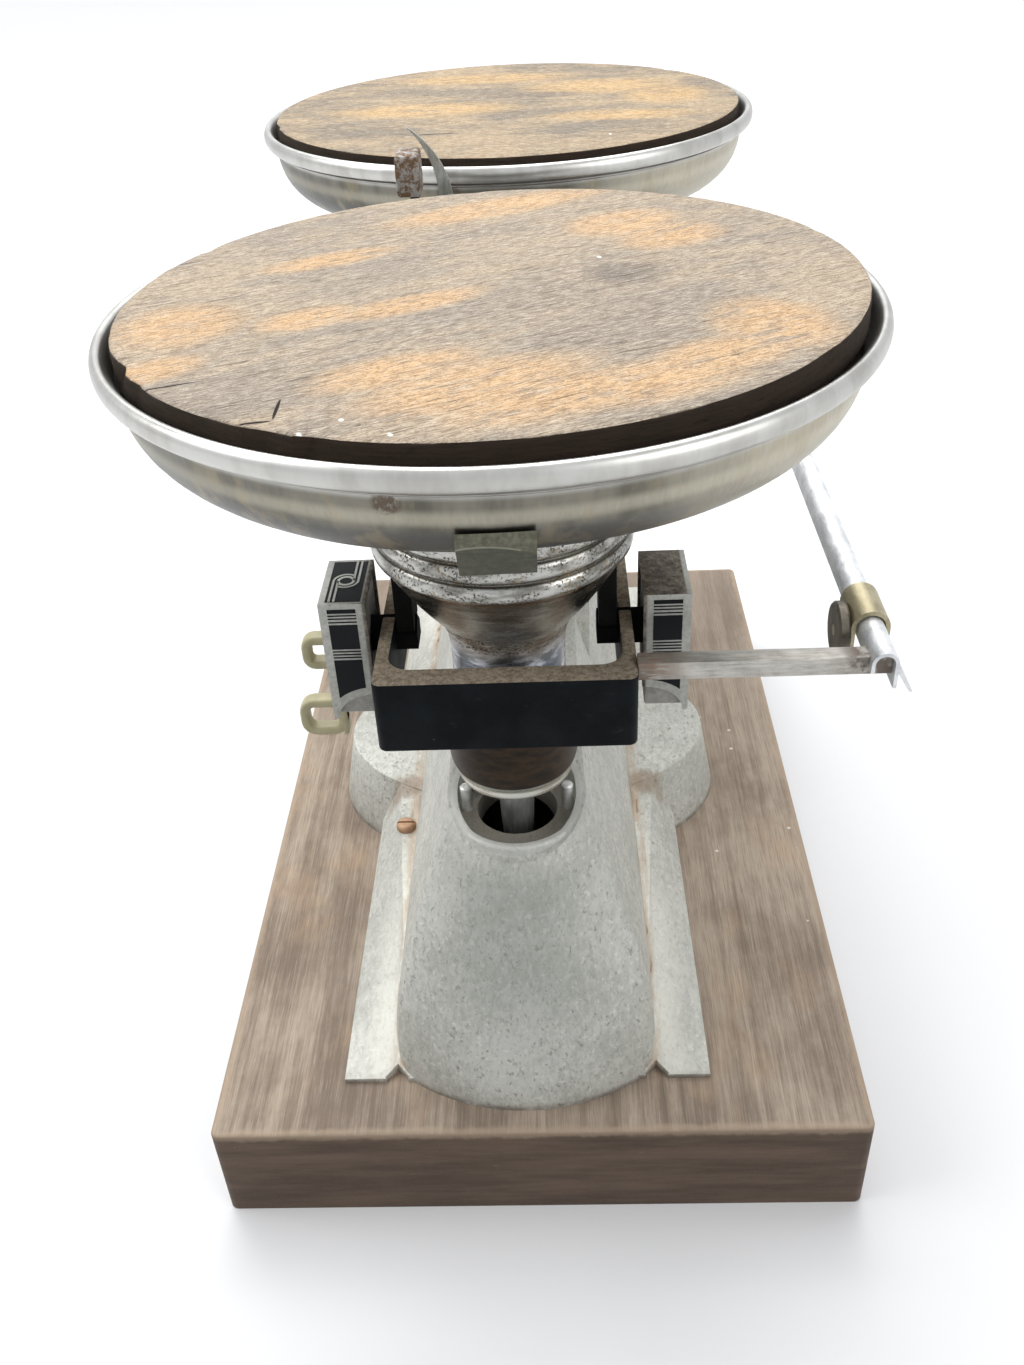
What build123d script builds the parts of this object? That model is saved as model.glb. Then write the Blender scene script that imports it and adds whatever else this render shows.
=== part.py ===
from build123d import *
import math
import os

# Trip balance with two round pans, screwed to a wooden board. Millimetres.
# X runs across the balance, Y along the beam, Z up. The origin lies on the
# board's underside, below the middle of the beam.

# Board
board_width = 170.0
board_length = 280.0
board_thickness = 32.3
board_shift = 3.3
board_edge = 1.2

# Beam and its three knife lines, which lie in one level plane
pan_reach = 91.5
knife_rise = 126.1
tilt_limit = 4.0
beam_half_width = 28.3
beam_overhang = 27.8
beam_depth = 17.7
beam_wall = 3.0
beam_end_wall = 6.0
beam_corner = 2.0
beam_inner_corner = 5.0
beam_top_drop = 0.4
hump_rise = 11.4
hump_half_length = 9.0
hump_foot = 20.0

# Knife edges
main_knife_half = 3.5
main_knife_taper = 5.0
main_knife_depth = 8.0
end_knife_half = 3.5
end_knife_depth = 7.4
end_knife_inner = 20.4
end_knife_outer = 38.0
bearing_gap = 0.1
notch_angle = 55.0

# Casting
body_half_width = 33.5
body_waist_rise = 27.7
body_waist_half_width = 31.8
waist_bulge = 13.0
body_shoulder_rise = 52.7
body_shoulder_half_width = 23.5
shoulder_bulge = 14.0
ridge_drop = 46.9
ridge_half_width = 16.5
ridge_bulge = 14.5
ridge_edge = 4.0
nose_overhang = 41.9
waist_nose_overhang = 35.0
shoulder_nose_overhang = 24.5
ridge_nose_overhang = 11.0
nose_bulge = 12.2
nose_corner = 7.0
nose_slope = 0.45
casting_wall = 4.5
cavity_slope_drop = 14.0
foot_notch_x = 34.3
foot_notch_y = 123.6
foot_notch_side = 4.6
drum_half_width = 62.5
drum_half_length = 42.0
drum_top_half_width = 58.0
drum_top_half_length = 39.0
drum_rise = 23.7
ledge_inner = 26.0
ledge_outer = 48.3
ledge_front = 124.0
ledge_apex = 96.0
ledge_apex_x = 34.0
ledge_apex_rise = 12.7
ledge_foot_thickness = 1.5
ledge_back = 28.0
ledge_back_outer = 47.0
ledge_back_outer_rise = 7.7
ledge_back_top_x = 39.6
ledge_crown = 0.01

# Well round each pan's stem, and the stop pins standing in it
well_radius = 15.0
well_rim_drop = 1.3
well_rim_radius = 16.3
well_chamfer = 2.0
well_lip_radius = 16.7
well_lip_rise = 1.2
well_lip_height = 4.0
well_lip_edge = 1.1
stem_hole_radius = 10.2
stop_pin_radius = 1.5
stop_pin_x = 12.8
stop_pin_height = 7.4
stop_pin_chamfer = 0.4
stop_clearance = 0.2

# Main bearing bracket on the ridge
bracket_foot_thickness = 5.0
pad_border = 1.0
pad_depth = 22.0
bracket_half_length = 13.0
bracket_top_half_length = 8.0
upright_inner = 15.0
upright_thickness = 6.0
main_bearing_depth = 8.4
main_bearing_half_length = 7.0
main_bearing_side = 0.5
main_notch_depth = 3.0
bracket_screw_head = 3.4
bracket_screw_head_height = 2.4
bracket_screw_shank = 1.8
bracket_screw_length = 11.0
bracket_screw_x = 8.0
screw_head_round = 1.2

# Index post and block, and the pointer
index_x = -23.0
index_width = 6.0
index_length = 10.0
index_height = 10.0
index_edge = 0.6
index_top_rise = 79.6
index_post_thickness = 2.0
index_post_width = 5.0
index_post_depth = 47.0
index_post_start = 13.0
pointer_root_half = 2.2
pointer_thickness = 1.0
pointer_neck_x = -13.9
pointer_neck_rise = 67.3
pointer_neck_half = 1.9
pointer_bend_x = -16.2
pointer_bend_rise = 77.6
pointer_tip_x = -22.7
pointer_tip_rise = 85.3
clamp_width = 8.0
clamp_length = 7.0
clamp_height = 4.0

# Covers over the outer ends of the pans' knife edges
cover_gap = 2.1
cover_width = 10.4
cover_length = 19.5
cover_height = 30.8
cover_above_knife = 8.9
cover_wall = 1.2
cover_arch_height = 6.5
cover_core_gap = 0.6

# Cream clip on the near left cover
clip_thickness = 1.5
clip_depth = 4.0
clip_behind = 3.5
clip_loop_band = 2.2
clip_loop_round = 0.45
clip_upper_rise = -12.9
clip_upper_height = 9.0
clip_upper_reach = 9.2
clip_lower_rise = -31.9
clip_lower_height = 11.0
clip_lower_reach = 12.2

# Scale rail and its bars
bar_side = 4.4
bar_inset = 6.3
bar_above_knife = 0.6
rail_x = 79.7
rail_radius = 2.9
rail_thickness = 0.8
rail_skirt = 6.0
rail_inner_skirt = 2.0
rail_overrun = 1.8
rail_crown = 2.0
rail_lip_reach = 3.6
rail_lip_length = 6.0

# Poise
poise_parking = 16.4
poise_length = 12.5
poise_gap = 0.35
poise_wall = 1.0
poise_skirt = 6.0
poise_weight_radius = 6.5
poise_weight_width = 2.6
poise_weight_drop = 3.4
poise_weight_ahead = -1.2
poise_weight_edge = 0.5
poise_rivet_radius = 1.3

# Pan support: turned column, stem, bearings and three-armed spider
foot_drop = 44.9
foot_radius = 14.2
foot_rim = 2.6
bulge_radius = 15.8
bulge_drop = 38.4
neck_radius = 13.1
neck_drop = 8.4
flare_radius = 17.7
flare_rise = 3.6
head_radius = 27.9
head_rise = 18.9
head_height = 15.7
bead_bulge = 1.0
bead_height = 3.9
bead_pitch = 4.55
stem_top_radius = 4.7
stem_radius = 3.9
stem_taper_length = 22.0
stem_collar = 3.0
stem_spigot_radius = 3.0
stem_spigot_length = 14.0
pan_bearing_width = 4.0
pan_bearing_half_length = 4.5
pan_bearing_side = 0.4
pan_bearing_leg = 2.0
spider_hub_radius = 18.0
spider_thickness = 2.0
spider_width = 12.7
spider_seat_radius = 54.0
spider_screw_radius = 5.0
spider_screw_height = 3.0
spider_screw_shank = 2.5
spider_screw_slot = 1.0
tab_foot_radius = 65.0
tab_radius = 72.3
tab_rise = 9.3
tab_crown = 2.1
tab_depth = 3.0
near_arm_turn = 2.0
far_arm_turn = 24.0

# Dish and wooden disc
dish_floor_rise = 49.8
dish_sheet = 1.1
dish_floor_radius = 60.4
dish_crease_radius = 61.8
dish_crease_height = 0.8
dish_wall_radius = 69.6
dish_wall_height = 5.6
dish_step_radius = 72.5
dish_step_height = 16.5
dish_rim_radius = 76.3
dish_rim_height = 20.2
dish_roll = 1.5
disc_radius = 71.9
disc_thickness = 6.0
disc_edge = 0.8
disc_seat_gap = 0.3
near_disc_tilt = 0.9

# Check link inside the casting
link_rise = 29.7
link_width = 7.0
link_height = 8.0
link_pin_radius = 2.0
link_clearance = 0.08
link_end_clearance = 0.25
link_end_radius = 5.0
link_fork_gap = 4.6
stem_tongue = 4.0
link_boss_radius = 5.5
link_boss_inner = 5.0
link_pin_half = 10.0

# Screws through the ledges
ledge_screw_x = 36.8
ledge_screw_y = 46.0
ledge_screw_seat_rise = 20.4
ledge_screw_head = 2.9
ledge_screw_head_height = 2.2
ledge_screw_shank = 1.7
ledge_screw_length = 32.0
ledge_screw_slot = 0.7
ledge_screw_gap = 0.3

# Levels and places that follow from the sizes above
board_top = board_thickness
knife_z = board_top + knife_rise
beam_top = knife_z - beam_top_drop
beam_bottom = beam_top - beam_depth
beam_half_length = pan_reach + beam_overhang
ridge_z = knife_z - ridge_drop
ridge_rise = ridge_z - board_top
column_bottom = knife_z - foot_drop
pan_travel = pan_reach * math.sin(math.radians(tilt_limit))
stop_pin_top = column_bottom - pan_travel - stop_clearance
well_floor = stop_pin_top - stop_pin_height
head_z = knife_z + head_rise
head_top = head_z + head_height
dish_floor = knife_z + dish_floor_rise
link_z = board_top + link_rise
bar_top = knife_z + bar_above_knife
bar_y = beam_half_length - bar_inset
rail_half_length = bar_y + bar_side / 2 + rail_overrun
poise_y = poise_parking - bar_y
bracket_foot_top = ridge_z + bracket_foot_thickness
upright_outer = upright_inner + upright_thickness
ends = {"near": -1, "far": 1}
sides = {"left": -1, "right": 1}


def block(x, y, z):
    """Box between pairs of limits along X, Y and Z."""
    size = Box(x[1] - x[0], y[1] - y[0], z[1] - z[0])
    return Pos((x[0] + x[1]) / 2, (y[0] + y[1]) / 2, (z[0] + z[1]) / 2) * size


def post(radius, bottom, top, x=0.0, y=0.0):
    """Upright cylinder between two levels."""
    return Pos(x, y, (bottom + top) / 2) * Cylinder(radius, top - bottom)


def pin_along_x(radius, start, end, y, z):
    """Cylinder along X between two places."""
    return Pos((start + end) / 2, y, z) * Rot(0, 90, 0) * Cylinder(radius, end - start)


def across_beam(outline, start, end):
    """Solid between two X places from an outline drawn in Y and Z."""
    face = Plane.YZ * make_face(outline)
    return Pos(start, 0, 0) * extrude(face, end - start)


def along_beam(outline, start, end):
    """Solid between two Y places from an outline drawn in X and Z."""
    face = Plane.XZ * make_face(outline)
    return Pos(0, end, 0) * extrude(face, end - start)


def turned(outline):
    """Solid turned about Z from an outline drawn in radius and height."""
    return revolve(Plane.XZ * make_face(outline), Axis.Z)


def mirrored_y(shape):
    return mirror(shape, Plane.XZ)


def mirrored_x(shape):
    return mirror(shape, Plane.YZ)


def wood_board():
    board = Pos(board_shift, 0, board_thickness / 2) * Box(board_width, board_length, board_thickness)
    board = fillet(board.edges().filter_by(Axis.Z), 2 * board_edge)
    return fillet(board.edges().group_by(Axis.Z)[-1], board_edge)


def plan_section(half_width, overhang, bulge, level, inset=0.0):
    """Level slice of the casting's body: straight sides and bowed ends."""
    side = half_width - inset
    nose = pan_reach + overhang - inset
    corner = nose - bulge * side / half_width
    outline = Line((side, -corner), (side, corner))
    outline += ThreePointArc((side, corner), (0, nose), (-side, corner))
    outline += Line((-side, corner), (-side, -corner))
    outline += ThreePointArc((-side, -corner), (0, -nose), (side, -corner))
    face = make_face(outline)
    rounding = min(nose_corner, side / 2)
    return Pos(0, 0, level) * fillet(face.vertices(), rounding)


def body_levels():
    return [
        (body_half_width, nose_overhang, nose_bulge, 0.0),
        (body_waist_half_width, waist_nose_overhang, waist_bulge, body_waist_rise),
        (body_shoulder_half_width, shoulder_nose_overhang, shoulder_bulge, body_shoulder_rise),
        (ridge_half_width, ridge_nose_overhang, ridge_bulge, ridge_rise),
    ]


def casting_body(inset, drop):
    """Tapered body; an inset and a drop give the cavity inside it."""
    sections = [
        plan_section(half_width, overhang, bulge, board_top + rise - drop * rise / ridge_rise, inset)
        for half_width, overhang, bulge, rise in body_levels()
    ]
    return loft(sections)


def nose_slopes():
    """What the sloping ends of the ridge leave away, above each well's rim."""
    rim_y = pan_reach + well_rim_radius
    rim_z = well_floor - well_rim_drop
    slope_run = 2 * well_rim_radius
    beyond = beam_half_length + nose_overhang
    above = ridge_z + ridge_edge
    outline = Polyline(
        (rim_y - slope_run, ridge_z),
        (rim_y, rim_z),
        (beyond, rim_z - (beyond - rim_y) * nose_slope),
        (beyond, above),
        (rim_y - slope_run, above),
        close=True,
    )
    far = across_beam(outline, -body_half_width, body_half_width)
    return far + mirrored_y(far)


def ledge():
    """Buttress along one quarter of the body, from its front foot to the drum."""
    rise_slope = ledge_back_outer_rise / (ledge_front - ledge_back)
    apex_outer_rise = ledge_foot_thickness + rise_slope * (ledge_front - ledge_apex)
    apex_outer = ledge_outer - (ledge_outer - ledge_back_outer) * (ledge_front - ledge_apex) / (
        ledge_front - ledge_back
    )
    stations = [
        (ledge_front, ledge_outer, ledge_foot_thickness, ledge_apex_x, ledge_foot_thickness),
        (ledge_apex, apex_outer, apex_outer_rise, ledge_apex_x, ledge_apex_rise),
        (ledge_back, ledge_back_outer, ledge_back_outer_rise, ledge_back_top_x, drum_rise),
    ]
    sections = []
    for y, outer, outer_rise, top_x, top_rise in stations:
        outline = Polyline(
            (ledge_inner, board_top),
            (outer, board_top),
            (outer, board_top + outer_rise),
            (top_x, board_top + top_rise + ledge_crown),
            (ledge_inner, board_top + top_rise + 2 * ledge_crown),
            close=True,
        )
        sections.append(Pos(0, -y, 0) * (Plane.XZ * make_face(outline)))
    return loft(sections, ruled=True)


def drum():
    lower = Pos(0, 0, board_top) * Ellipse(drum_half_width, drum_half_length)
    upper = Pos(0, 0, board_top + drum_rise) * Ellipse(drum_top_half_width, drum_top_half_length)
    return loft([lower, upper])


def link_bosses():
    """Inner bosses that carry the check link's middle pin."""
    right = pin_along_x(link_boss_radius, link_boss_inner, body_waist_half_width - casting_wall / 2, 0, link_z)
    return right + mirrored_x(right)


def stem_wells():
    """Counterbored well, its chamfered mouth and the stem's hole at each end."""
    cuts = []
    for end in ends.values():
        y = end * pan_reach
        cuts.append(post(well_radius, well_floor, ridge_z + ridge_edge, 0, y))
        cuts.append(post(stem_hole_radius, board_top, ridge_z, 0, y))
        mouth = Cone(well_radius, well_radius + well_chamfer, well_chamfer)
        cuts.append(Pos(0, y, ridge_z - well_chamfer / 2) * mouth)
    return cuts


def well_lips():
    """Low rounded lip round the front of each well."""
    top = well_floor + well_lip_rise
    lip = post(well_lip_radius, top - well_lip_height, top)
    lip = fillet(lip.edges().group_by(Axis.Z)[-1], well_lip_edge)
    return [Pos(0, end * pan_reach, 0) * lip for end in ends.values()]


def bracket_pad():
    """Thick middle of the ridge, which carries the bearing bracket."""
    half_length = bracket_half_length + pad_border
    return block((-upright_outer, upright_outer), (-half_length, half_length), (ridge_z - pad_depth, ridge_z))


def foot_notches():
    """Small notches in front, between each ledge's foot and the nose."""
    notch_box = Rot(0, 0, 45) * Box(foot_notch_side, foot_notch_side, 2 * ledge_foot_thickness)
    places = [(x, y) for x in (-foot_notch_x, foot_notch_x) for y in (-foot_notch_y, foot_notch_y)]
    return [Pos(x, y, board_top + ledge_foot_thickness) * notch_box for x, y in places]


def base_casting():
    ledges = ledge()
    ledges += mirrored_y(ledges)
    ledges += mirrored_x(ledges)
    for cut in foot_notches():
        ledges -= cut
    casting = casting_body(0, 0) + drum() + ledges
    casting -= nose_slopes()
    for lip in well_lips():
        casting += lip
    casting += bracket_pad()
    cavity = casting_body(casting_wall, 2 * casting_wall)
    cavity -= nose_slopes().moved(Location((0, 0, -cavity_slope_drop)))
    casting -= cavity - link_bosses()
    for cut in stem_wells():
        casting -= cut
    casting -= pin_along_x(link_pin_radius, -link_pin_half, link_pin_half, 0, link_z)
    for x, y in ledge_screw_places():
        seat = board_top + ledge_screw_seat_rise
        casting -= post(ledge_screw_head + ledge_screw_gap, seat, seat + drum_rise, x, y)
        casting -= post(ledge_screw_shank, board_top, seat, x, y)
    for x in bracket_screw_places():
        casting -= post(bracket_screw_shank, bracket_foot_top - bracket_screw_length - 1, ridge_z, x, 0)
    return casting


def ledge_screw_places():
    return [(-ledge_screw_x, -ledge_screw_y), (ledge_screw_x, ledge_screw_y)]


def bracket_screw_places():
    return [-bracket_screw_x, bracket_screw_x]


def ledge_screws():
    seat = board_top + ledge_screw_seat_rise
    screws = []
    for x, y in ledge_screw_places():
        head = post(ledge_screw_head, seat, seat + ledge_screw_head_height, x, y)
        head = fillet(head.edges().group_by(Axis.Z)[-1], screw_head_round)
        slot_top = seat + ledge_screw_head_height
        slot = block(
            (x - ledge_screw_head, x + ledge_screw_head),
            (y - ledge_screw_slot / 2, y + ledge_screw_slot / 2),
            (slot_top - ledge_screw_slot, slot_top),
        )
        shank = post(ledge_screw_shank, seat - ledge_screw_length, seat, x, y)
        screws.append(head - slot + shank)
    return screws


def board_with_holes():
    board = wood_board()
    for screw in ledge_screws():
        board -= screw
    return board


def bearing_bracket():
    """Forked bracket: a foot on the ridge and two tapering uprights."""
    plate_bottom = knife_z - main_bearing_depth
    foot = block((-upright_outer, upright_outer), (-bracket_half_length, bracket_half_length),
                 (ridge_z, bracket_foot_top))
    outline = Polyline(
        (-bracket_half_length, ridge_z),
        (bracket_half_length, ridge_z),
        (bracket_half_length, bracket_foot_top),
        (bracket_top_half_length, plate_bottom),
        (-bracket_top_half_length, plate_bottom),
        (-bracket_half_length, bracket_foot_top),
        close=True,
    )
    right = across_beam(outline, upright_inner, upright_outer)
    bracket = foot + right + mirrored_x(right)
    for x in bracket_screw_places():
        bracket -= post(bracket_screw_shank, ridge_z, bracket_foot_top, x, 0)
    return bracket


def bracket_screws():
    screws = []
    for x in bracket_screw_places():
        top = bracket_foot_top + bracket_screw_head_height
        head = post(bracket_screw_head, bracket_foot_top, top, x, 0)
        head = fillet(head.edges().group_by(Axis.Z)[-1], screw_head_round)
        shank = post(bracket_screw_shank, bracket_foot_top - bracket_screw_length, bracket_foot_top, x, 0)
        screws.append(head + shank)
    return screws


def notch(apex_z, depth, upward):
    """Outline of a V notch whose apex lies on the beam's axis plane."""
    half = depth * math.tan(math.radians(notch_angle))
    mouth_z = apex_z + depth * upward
    return Polyline((0, apex_z), (half, mouth_z), (-half, mouth_z), close=True)


def main_bearings():
    """Hard plates with a V notch, one on each upright."""
    plates = []
    start = upright_inner + main_bearing_side
    end = upright_outer - main_bearing_side
    top = knife_z + main_notch_depth
    vee = across_beam(notch(knife_z - bearing_gap, main_notch_depth + 1, 1), start, end)
    plate = block((start, end), (-main_bearing_half_length, main_bearing_half_length),
                  (knife_z - main_bearing_depth, top))
    right = plate - vee
    plates.append(right)
    plates.append(mirrored_x(right))
    return plates


def main_knife_outline():
    return Polyline(
        (0, knife_z),
        (main_knife_half, knife_z + main_knife_taper),
        (main_knife_half, knife_z + main_knife_depth),
        (-main_knife_half, knife_z + main_knife_depth),
        (-main_knife_half, knife_z + main_knife_taper),
        close=True,
    )


def main_knife_edge():
    return across_beam(main_knife_outline(), -beam_half_width, beam_half_width)


def end_knife_outline(y):
    return Polyline(
        (y, knife_z),
        (y + end_knife_half, knife_z - end_knife_half),
        (y + end_knife_half, knife_z - end_knife_depth),
        (y - end_knife_half, knife_z - end_knife_depth),
        (y - end_knife_half, knife_z - end_knife_half),
        close=True,
    )


def end_knife_edges(end):
    right = across_beam(end_knife_outline(end * pan_reach), end_knife_inner, end_knife_outer)
    return [right, mirrored_x(right)]


def beam_frame():
    """Long open frame with a hump on each rail that holds the main knife edge."""
    outer = RectangleRounded(2 * beam_half_width, 2 * beam_half_length, beam_corner)
    inner = RectangleRounded(
        2 * (beam_half_width - beam_wall),
        2 * (beam_half_length - beam_end_wall),
        beam_inner_corner,
    )
    frame = Pos(0, 0, beam_bottom) * extrude(outer - inner, beam_depth)
    hump_top = knife_z + hump_rise
    hump = Polyline(
        (-hump_foot, beam_top),
        (hump_foot, beam_top),
        (hump_half_length, hump_top),
        (-hump_half_length, hump_top),
        close=True,
    )
    right = across_beam(hump, beam_half_width - beam_wall, beam_half_width)
    frame += right + mirrored_x(right)
    frame -= main_knife_edge()
    for end in ends.values():
        for stub in end_knife_edges(end):
            frame -= stub
    return frame


def cover(end, side):
    """Thin cover, open towards the beam and below, arched at its front foot."""
    inner = beam_half_width + cover_gap
    outer = inner + cover_width
    top = knife_z + cover_above_knife
    bottom = top - cover_height
    y = end * pan_reach
    shell = block((inner, outer), (y - cover_length / 2, y + cover_length / 2), (bottom, top))
    half_hollow = cover_length / 2 - cover_wall
    shell -= block((inner, outer - cover_wall), (y - half_hollow, y + half_hollow), (bottom, top - cover_wall))
    arch = Ellipse(cover_width - cover_wall, cover_arch_height)
    arch = Plane.XZ * (Pos(inner, bottom) * arch)
    shell -= Pos(0, y + cover_length, 0) * extrude(arch, 2 * cover_length)
    return shell if side > 0 else mirrored_x(shell)


def knife_edge_brackets(end):
    """Blocks inside the covers that hold them on the knife edges' outer ends."""
    inner = beam_half_width + cover_gap + cover_core_gap
    outer = beam_half_width + cover_gap + cover_width - cover_wall
    top = knife_z + cover_above_knife - cover_wall
    bottom = knife_z + cover_above_knife - cover_height + cover_core_gap
    half = cover_length / 2 - cover_wall
    y = end * pan_reach
    right = block((inner, outer), (y - half, y + half), (bottom, top))
    right -= end_knife_edges(end)[0]
    return [right, mirrored_x(right)]


def cream_clip():
    """Strip behind the near left cover with two open loops pointing outward."""
    wall_x = -(beam_half_width + cover_gap + cover_width)
    y = -pan_reach + clip_behind
    upper = knife_z + clip_upper_rise
    lower = knife_z + clip_lower_rise
    profile = Pos(wall_x - clip_thickness / 2, (upper + lower) / 2) * Rectangle(
        clip_thickness, upper - lower + clip_upper_height
    )
    loops = [
        (upper, clip_upper_reach, clip_upper_height),
        (lower, clip_lower_reach, clip_lower_height),
    ]
    for level, reach, height in loops:
        centre = Pos(wall_x - reach / 2, level)
        profile += centre * RectangleRounded(reach, height, clip_loop_round * min(height, reach))
    for level, reach, height in loops:
        hole_height = height - 2 * clip_loop_band
        hole_reach = reach - 2 * clip_loop_band
        centre = Pos(wall_x - reach / 2, level)
        rounding = clip_loop_round * min(hole_height, hole_reach)
        profile -= centre * RectangleRounded(hole_reach, hole_height, rounding)
    solid = extrude(Plane.XZ * profile, clip_depth)
    return Pos(0, y + clip_depth, 0) * solid


def pointer_blade():
    """Thin blade leaning left, with its tip bent over the index block."""
    root_z = knife_z + main_knife_depth
    neck_z = knife_z + pointer_neck_rise
    bend_z = knife_z + pointer_bend_rise
    tip = (pointer_tip_x, knife_z + pointer_tip_rise)
    right_neck = (pointer_neck_x + pointer_neck_half, neck_z)
    left_neck = (pointer_neck_x - pointer_neck_half, neck_z)
    outline = Line((pointer_root_half, root_z), right_neck)
    outline += ThreePointArc(right_neck, (pointer_bend_x + pointer_neck_half / 2, bend_z), tip)
    outline += ThreePointArc(tip, (pointer_bend_x - pointer_neck_half / 2, bend_z - 1), left_neck)
    outline += Line(left_neck, (-pointer_root_half, root_z))
    outline += Line((-pointer_root_half, root_z), (pointer_root_half, root_z))
    return along_beam(outline, -pointer_thickness / 2, pointer_thickness / 2)


def pointer_clamp():
    """Small block on the main knife edge, slotted for the pointer."""
    bottom = knife_z + main_knife_depth
    clamp = block((-clamp_width / 2, clamp_width / 2), (-clamp_length / 2, clamp_length / 2),
                  (bottom, bottom + clamp_height))
    return clamp - pointer_blade()


def index_post():
    """Flat strip up from the left upright, jogged clear of the knife edge."""
    bottom = knife_z - index_post_depth
    jog_start = knife_z + index_post_start
    jog_end = jog_start + index_post_start
    top = knife_z + index_top_rise - index_height
    outer = bracket_half_length
    inner = outer - index_post_width
    half = index_post_width / 2
    outline = Polyline(
        (inner, bottom),
        (outer, bottom),
        (outer, jog_start),
        (half, jog_end),
        (half, top),
        (-half, top),
        (-half, jog_end),
        (inner, jog_start),
        close=True,
    )
    return across_beam(outline, -upright_outer - index_post_thickness, -upright_outer)


def index_block():
    top = knife_z + index_top_rise
    body = block((index_x - index_width / 2, index_x + index_width / 2),
                 (-index_length / 2, index_length / 2), (top - index_height, top))
    return chamfer(body.edges().group_by(Axis.Z)[-1], index_edge)


def stop_pins(end):
    """Two pins on the well's floor that stop the pan's foot at full tilt."""
    y = end * pan_reach
    pins = []
    for side in sides.values():
        pin = post(stop_pin_radius, well_floor, stop_pin_top, side * stop_pin_x, y)
        pins.append(chamfer(pin.edges().group_by(Axis.Z)[-1], stop_pin_chamfer))
    return pins


def scale_bar(end):
    y = end * bar_y
    return block((beam_half_width, rail_x + rail_radius - rail_thickness),
                 (y - bar_side / 2, y + bar_side / 2), (bar_top - bar_side, bar_top))


def rail_centre_z():
    return bar_top + rail_crown - rail_radius


def arched_outline(grow, inner_skirt, outer_skirt, thickness):
    """Section of a thin arch over the rail, with a skirt down each side."""
    radius = rail_radius + grow
    z = rail_centre_z()
    outer = Pos(rail_x, z) * Circle(radius)
    outer += Pos(rail_x - radius / 2, z - inner_skirt / 2) * Rectangle(radius, inner_skirt)
    outer += Pos(rail_x + radius / 2, z - outer_skirt / 2) * Rectangle(radius, outer_skirt)
    hollow = Pos(rail_x, z) * Circle(radius - thickness)
    drop = max(inner_skirt, outer_skirt) + 2 * radius
    hollow += Pos(rail_x, z - drop / 2) * Rectangle(2 * (radius - thickness), drop)
    return outer - hollow


def scale_rail():
    """Arched sheet rail with a torn lip splayed out at its near end."""
    profile = Plane.XZ * arched_outline(0, rail_inner_skirt, rail_skirt, rail_thickness)
    rail = Pos(0, rail_half_length, 0) * extrude(profile, 2 * rail_half_length)
    for end in ends.values():
        rail -= scale_bar(end)
    z = rail_centre_z()
    x = rail_x + rail_radius
    lip = Polyline(
        (x - rail_thickness, z),
        (x, z),
        (x + rail_lip_reach, z - rail_skirt - 1),
        (x + rail_lip_reach - rail_thickness, z - rail_skirt - 1),
        (x - rail_thickness, z - 1),
        close=True,
    )
    return rail + along_beam(lip, -rail_half_length, -rail_half_length + rail_lip_length)


def poise_saddle():
    """Folded strip that rides astride the rail and carries the weight's plate."""
    grow = poise_gap + poise_wall
    profile = Plane.XZ * arched_outline(grow, poise_skirt, rail_inner_skirt, poise_wall)
    saddle = extrude(profile, poise_length)
    return Pos(0, poise_y + poise_length / 2, 0) * saddle


def poise_weight_centre():
    x = rail_x - rail_radius - poise_gap - poise_wall
    return x, poise_y + poise_weight_ahead, rail_centre_z() - poise_weight_drop


def poise_weight():
    x, y, z = poise_weight_centre()
    weight = pin_along_x(poise_weight_radius, x - poise_weight_width, x, y, z)
    weight = chamfer(weight.edges(), poise_weight_edge)
    return weight - poise_rivet()


def poise_rivet():
    x, y, z = poise_weight_centre()
    rivet_z = rail_centre_z() - poise_skirt + 2 * poise_rivet_radius
    return pin_along_x(poise_rivet_radius, x - poise_weight_width, x, y, rivet_z)


def column_outline():
    """Radius and height of the turned column, from its foot to its head."""
    z = knife_z
    foot_top = column_bottom + foot_rim
    outline = Line((0, column_bottom), (foot_radius, column_bottom))
    outline += Line((foot_radius, column_bottom), (foot_radius, foot_top))
    outline += Spline(
        (foot_radius, foot_top),
        (bulge_radius, z - bulge_drop),
        (neck_radius, z - neck_drop),
        (flare_radius, z + flare_rise),
        (head_radius, head_z),
    )
    ring_z = head_z
    for number in range(3):
        ring_top = ring_z + bead_height
        outline += ThreePointArc(
            (head_radius, ring_z), (head_radius + bead_bulge, ring_z + bead_height / 2), (head_radius, ring_top)
        )
        outline += Line((head_radius, ring_top), (head_radius, ring_z + bead_pitch))
        ring_z += bead_pitch
    outline += Line((head_radius, ring_z), (head_radius, head_top))
    outline += Line((head_radius, head_top), (0, head_top))
    outline += Line((0, head_top), (0, column_bottom))
    return outline


def column():
    body = turned(column_outline())
    body -= post(stem_spigot_radius, column_bottom, column_bottom + stem_spigot_length)
    body -= post(spider_screw_shank, head_top - 2 * spider_screw_height, head_top)
    return body


def pan_column(end):
    return Pos(0, end * pan_reach, 0) * column()


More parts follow.
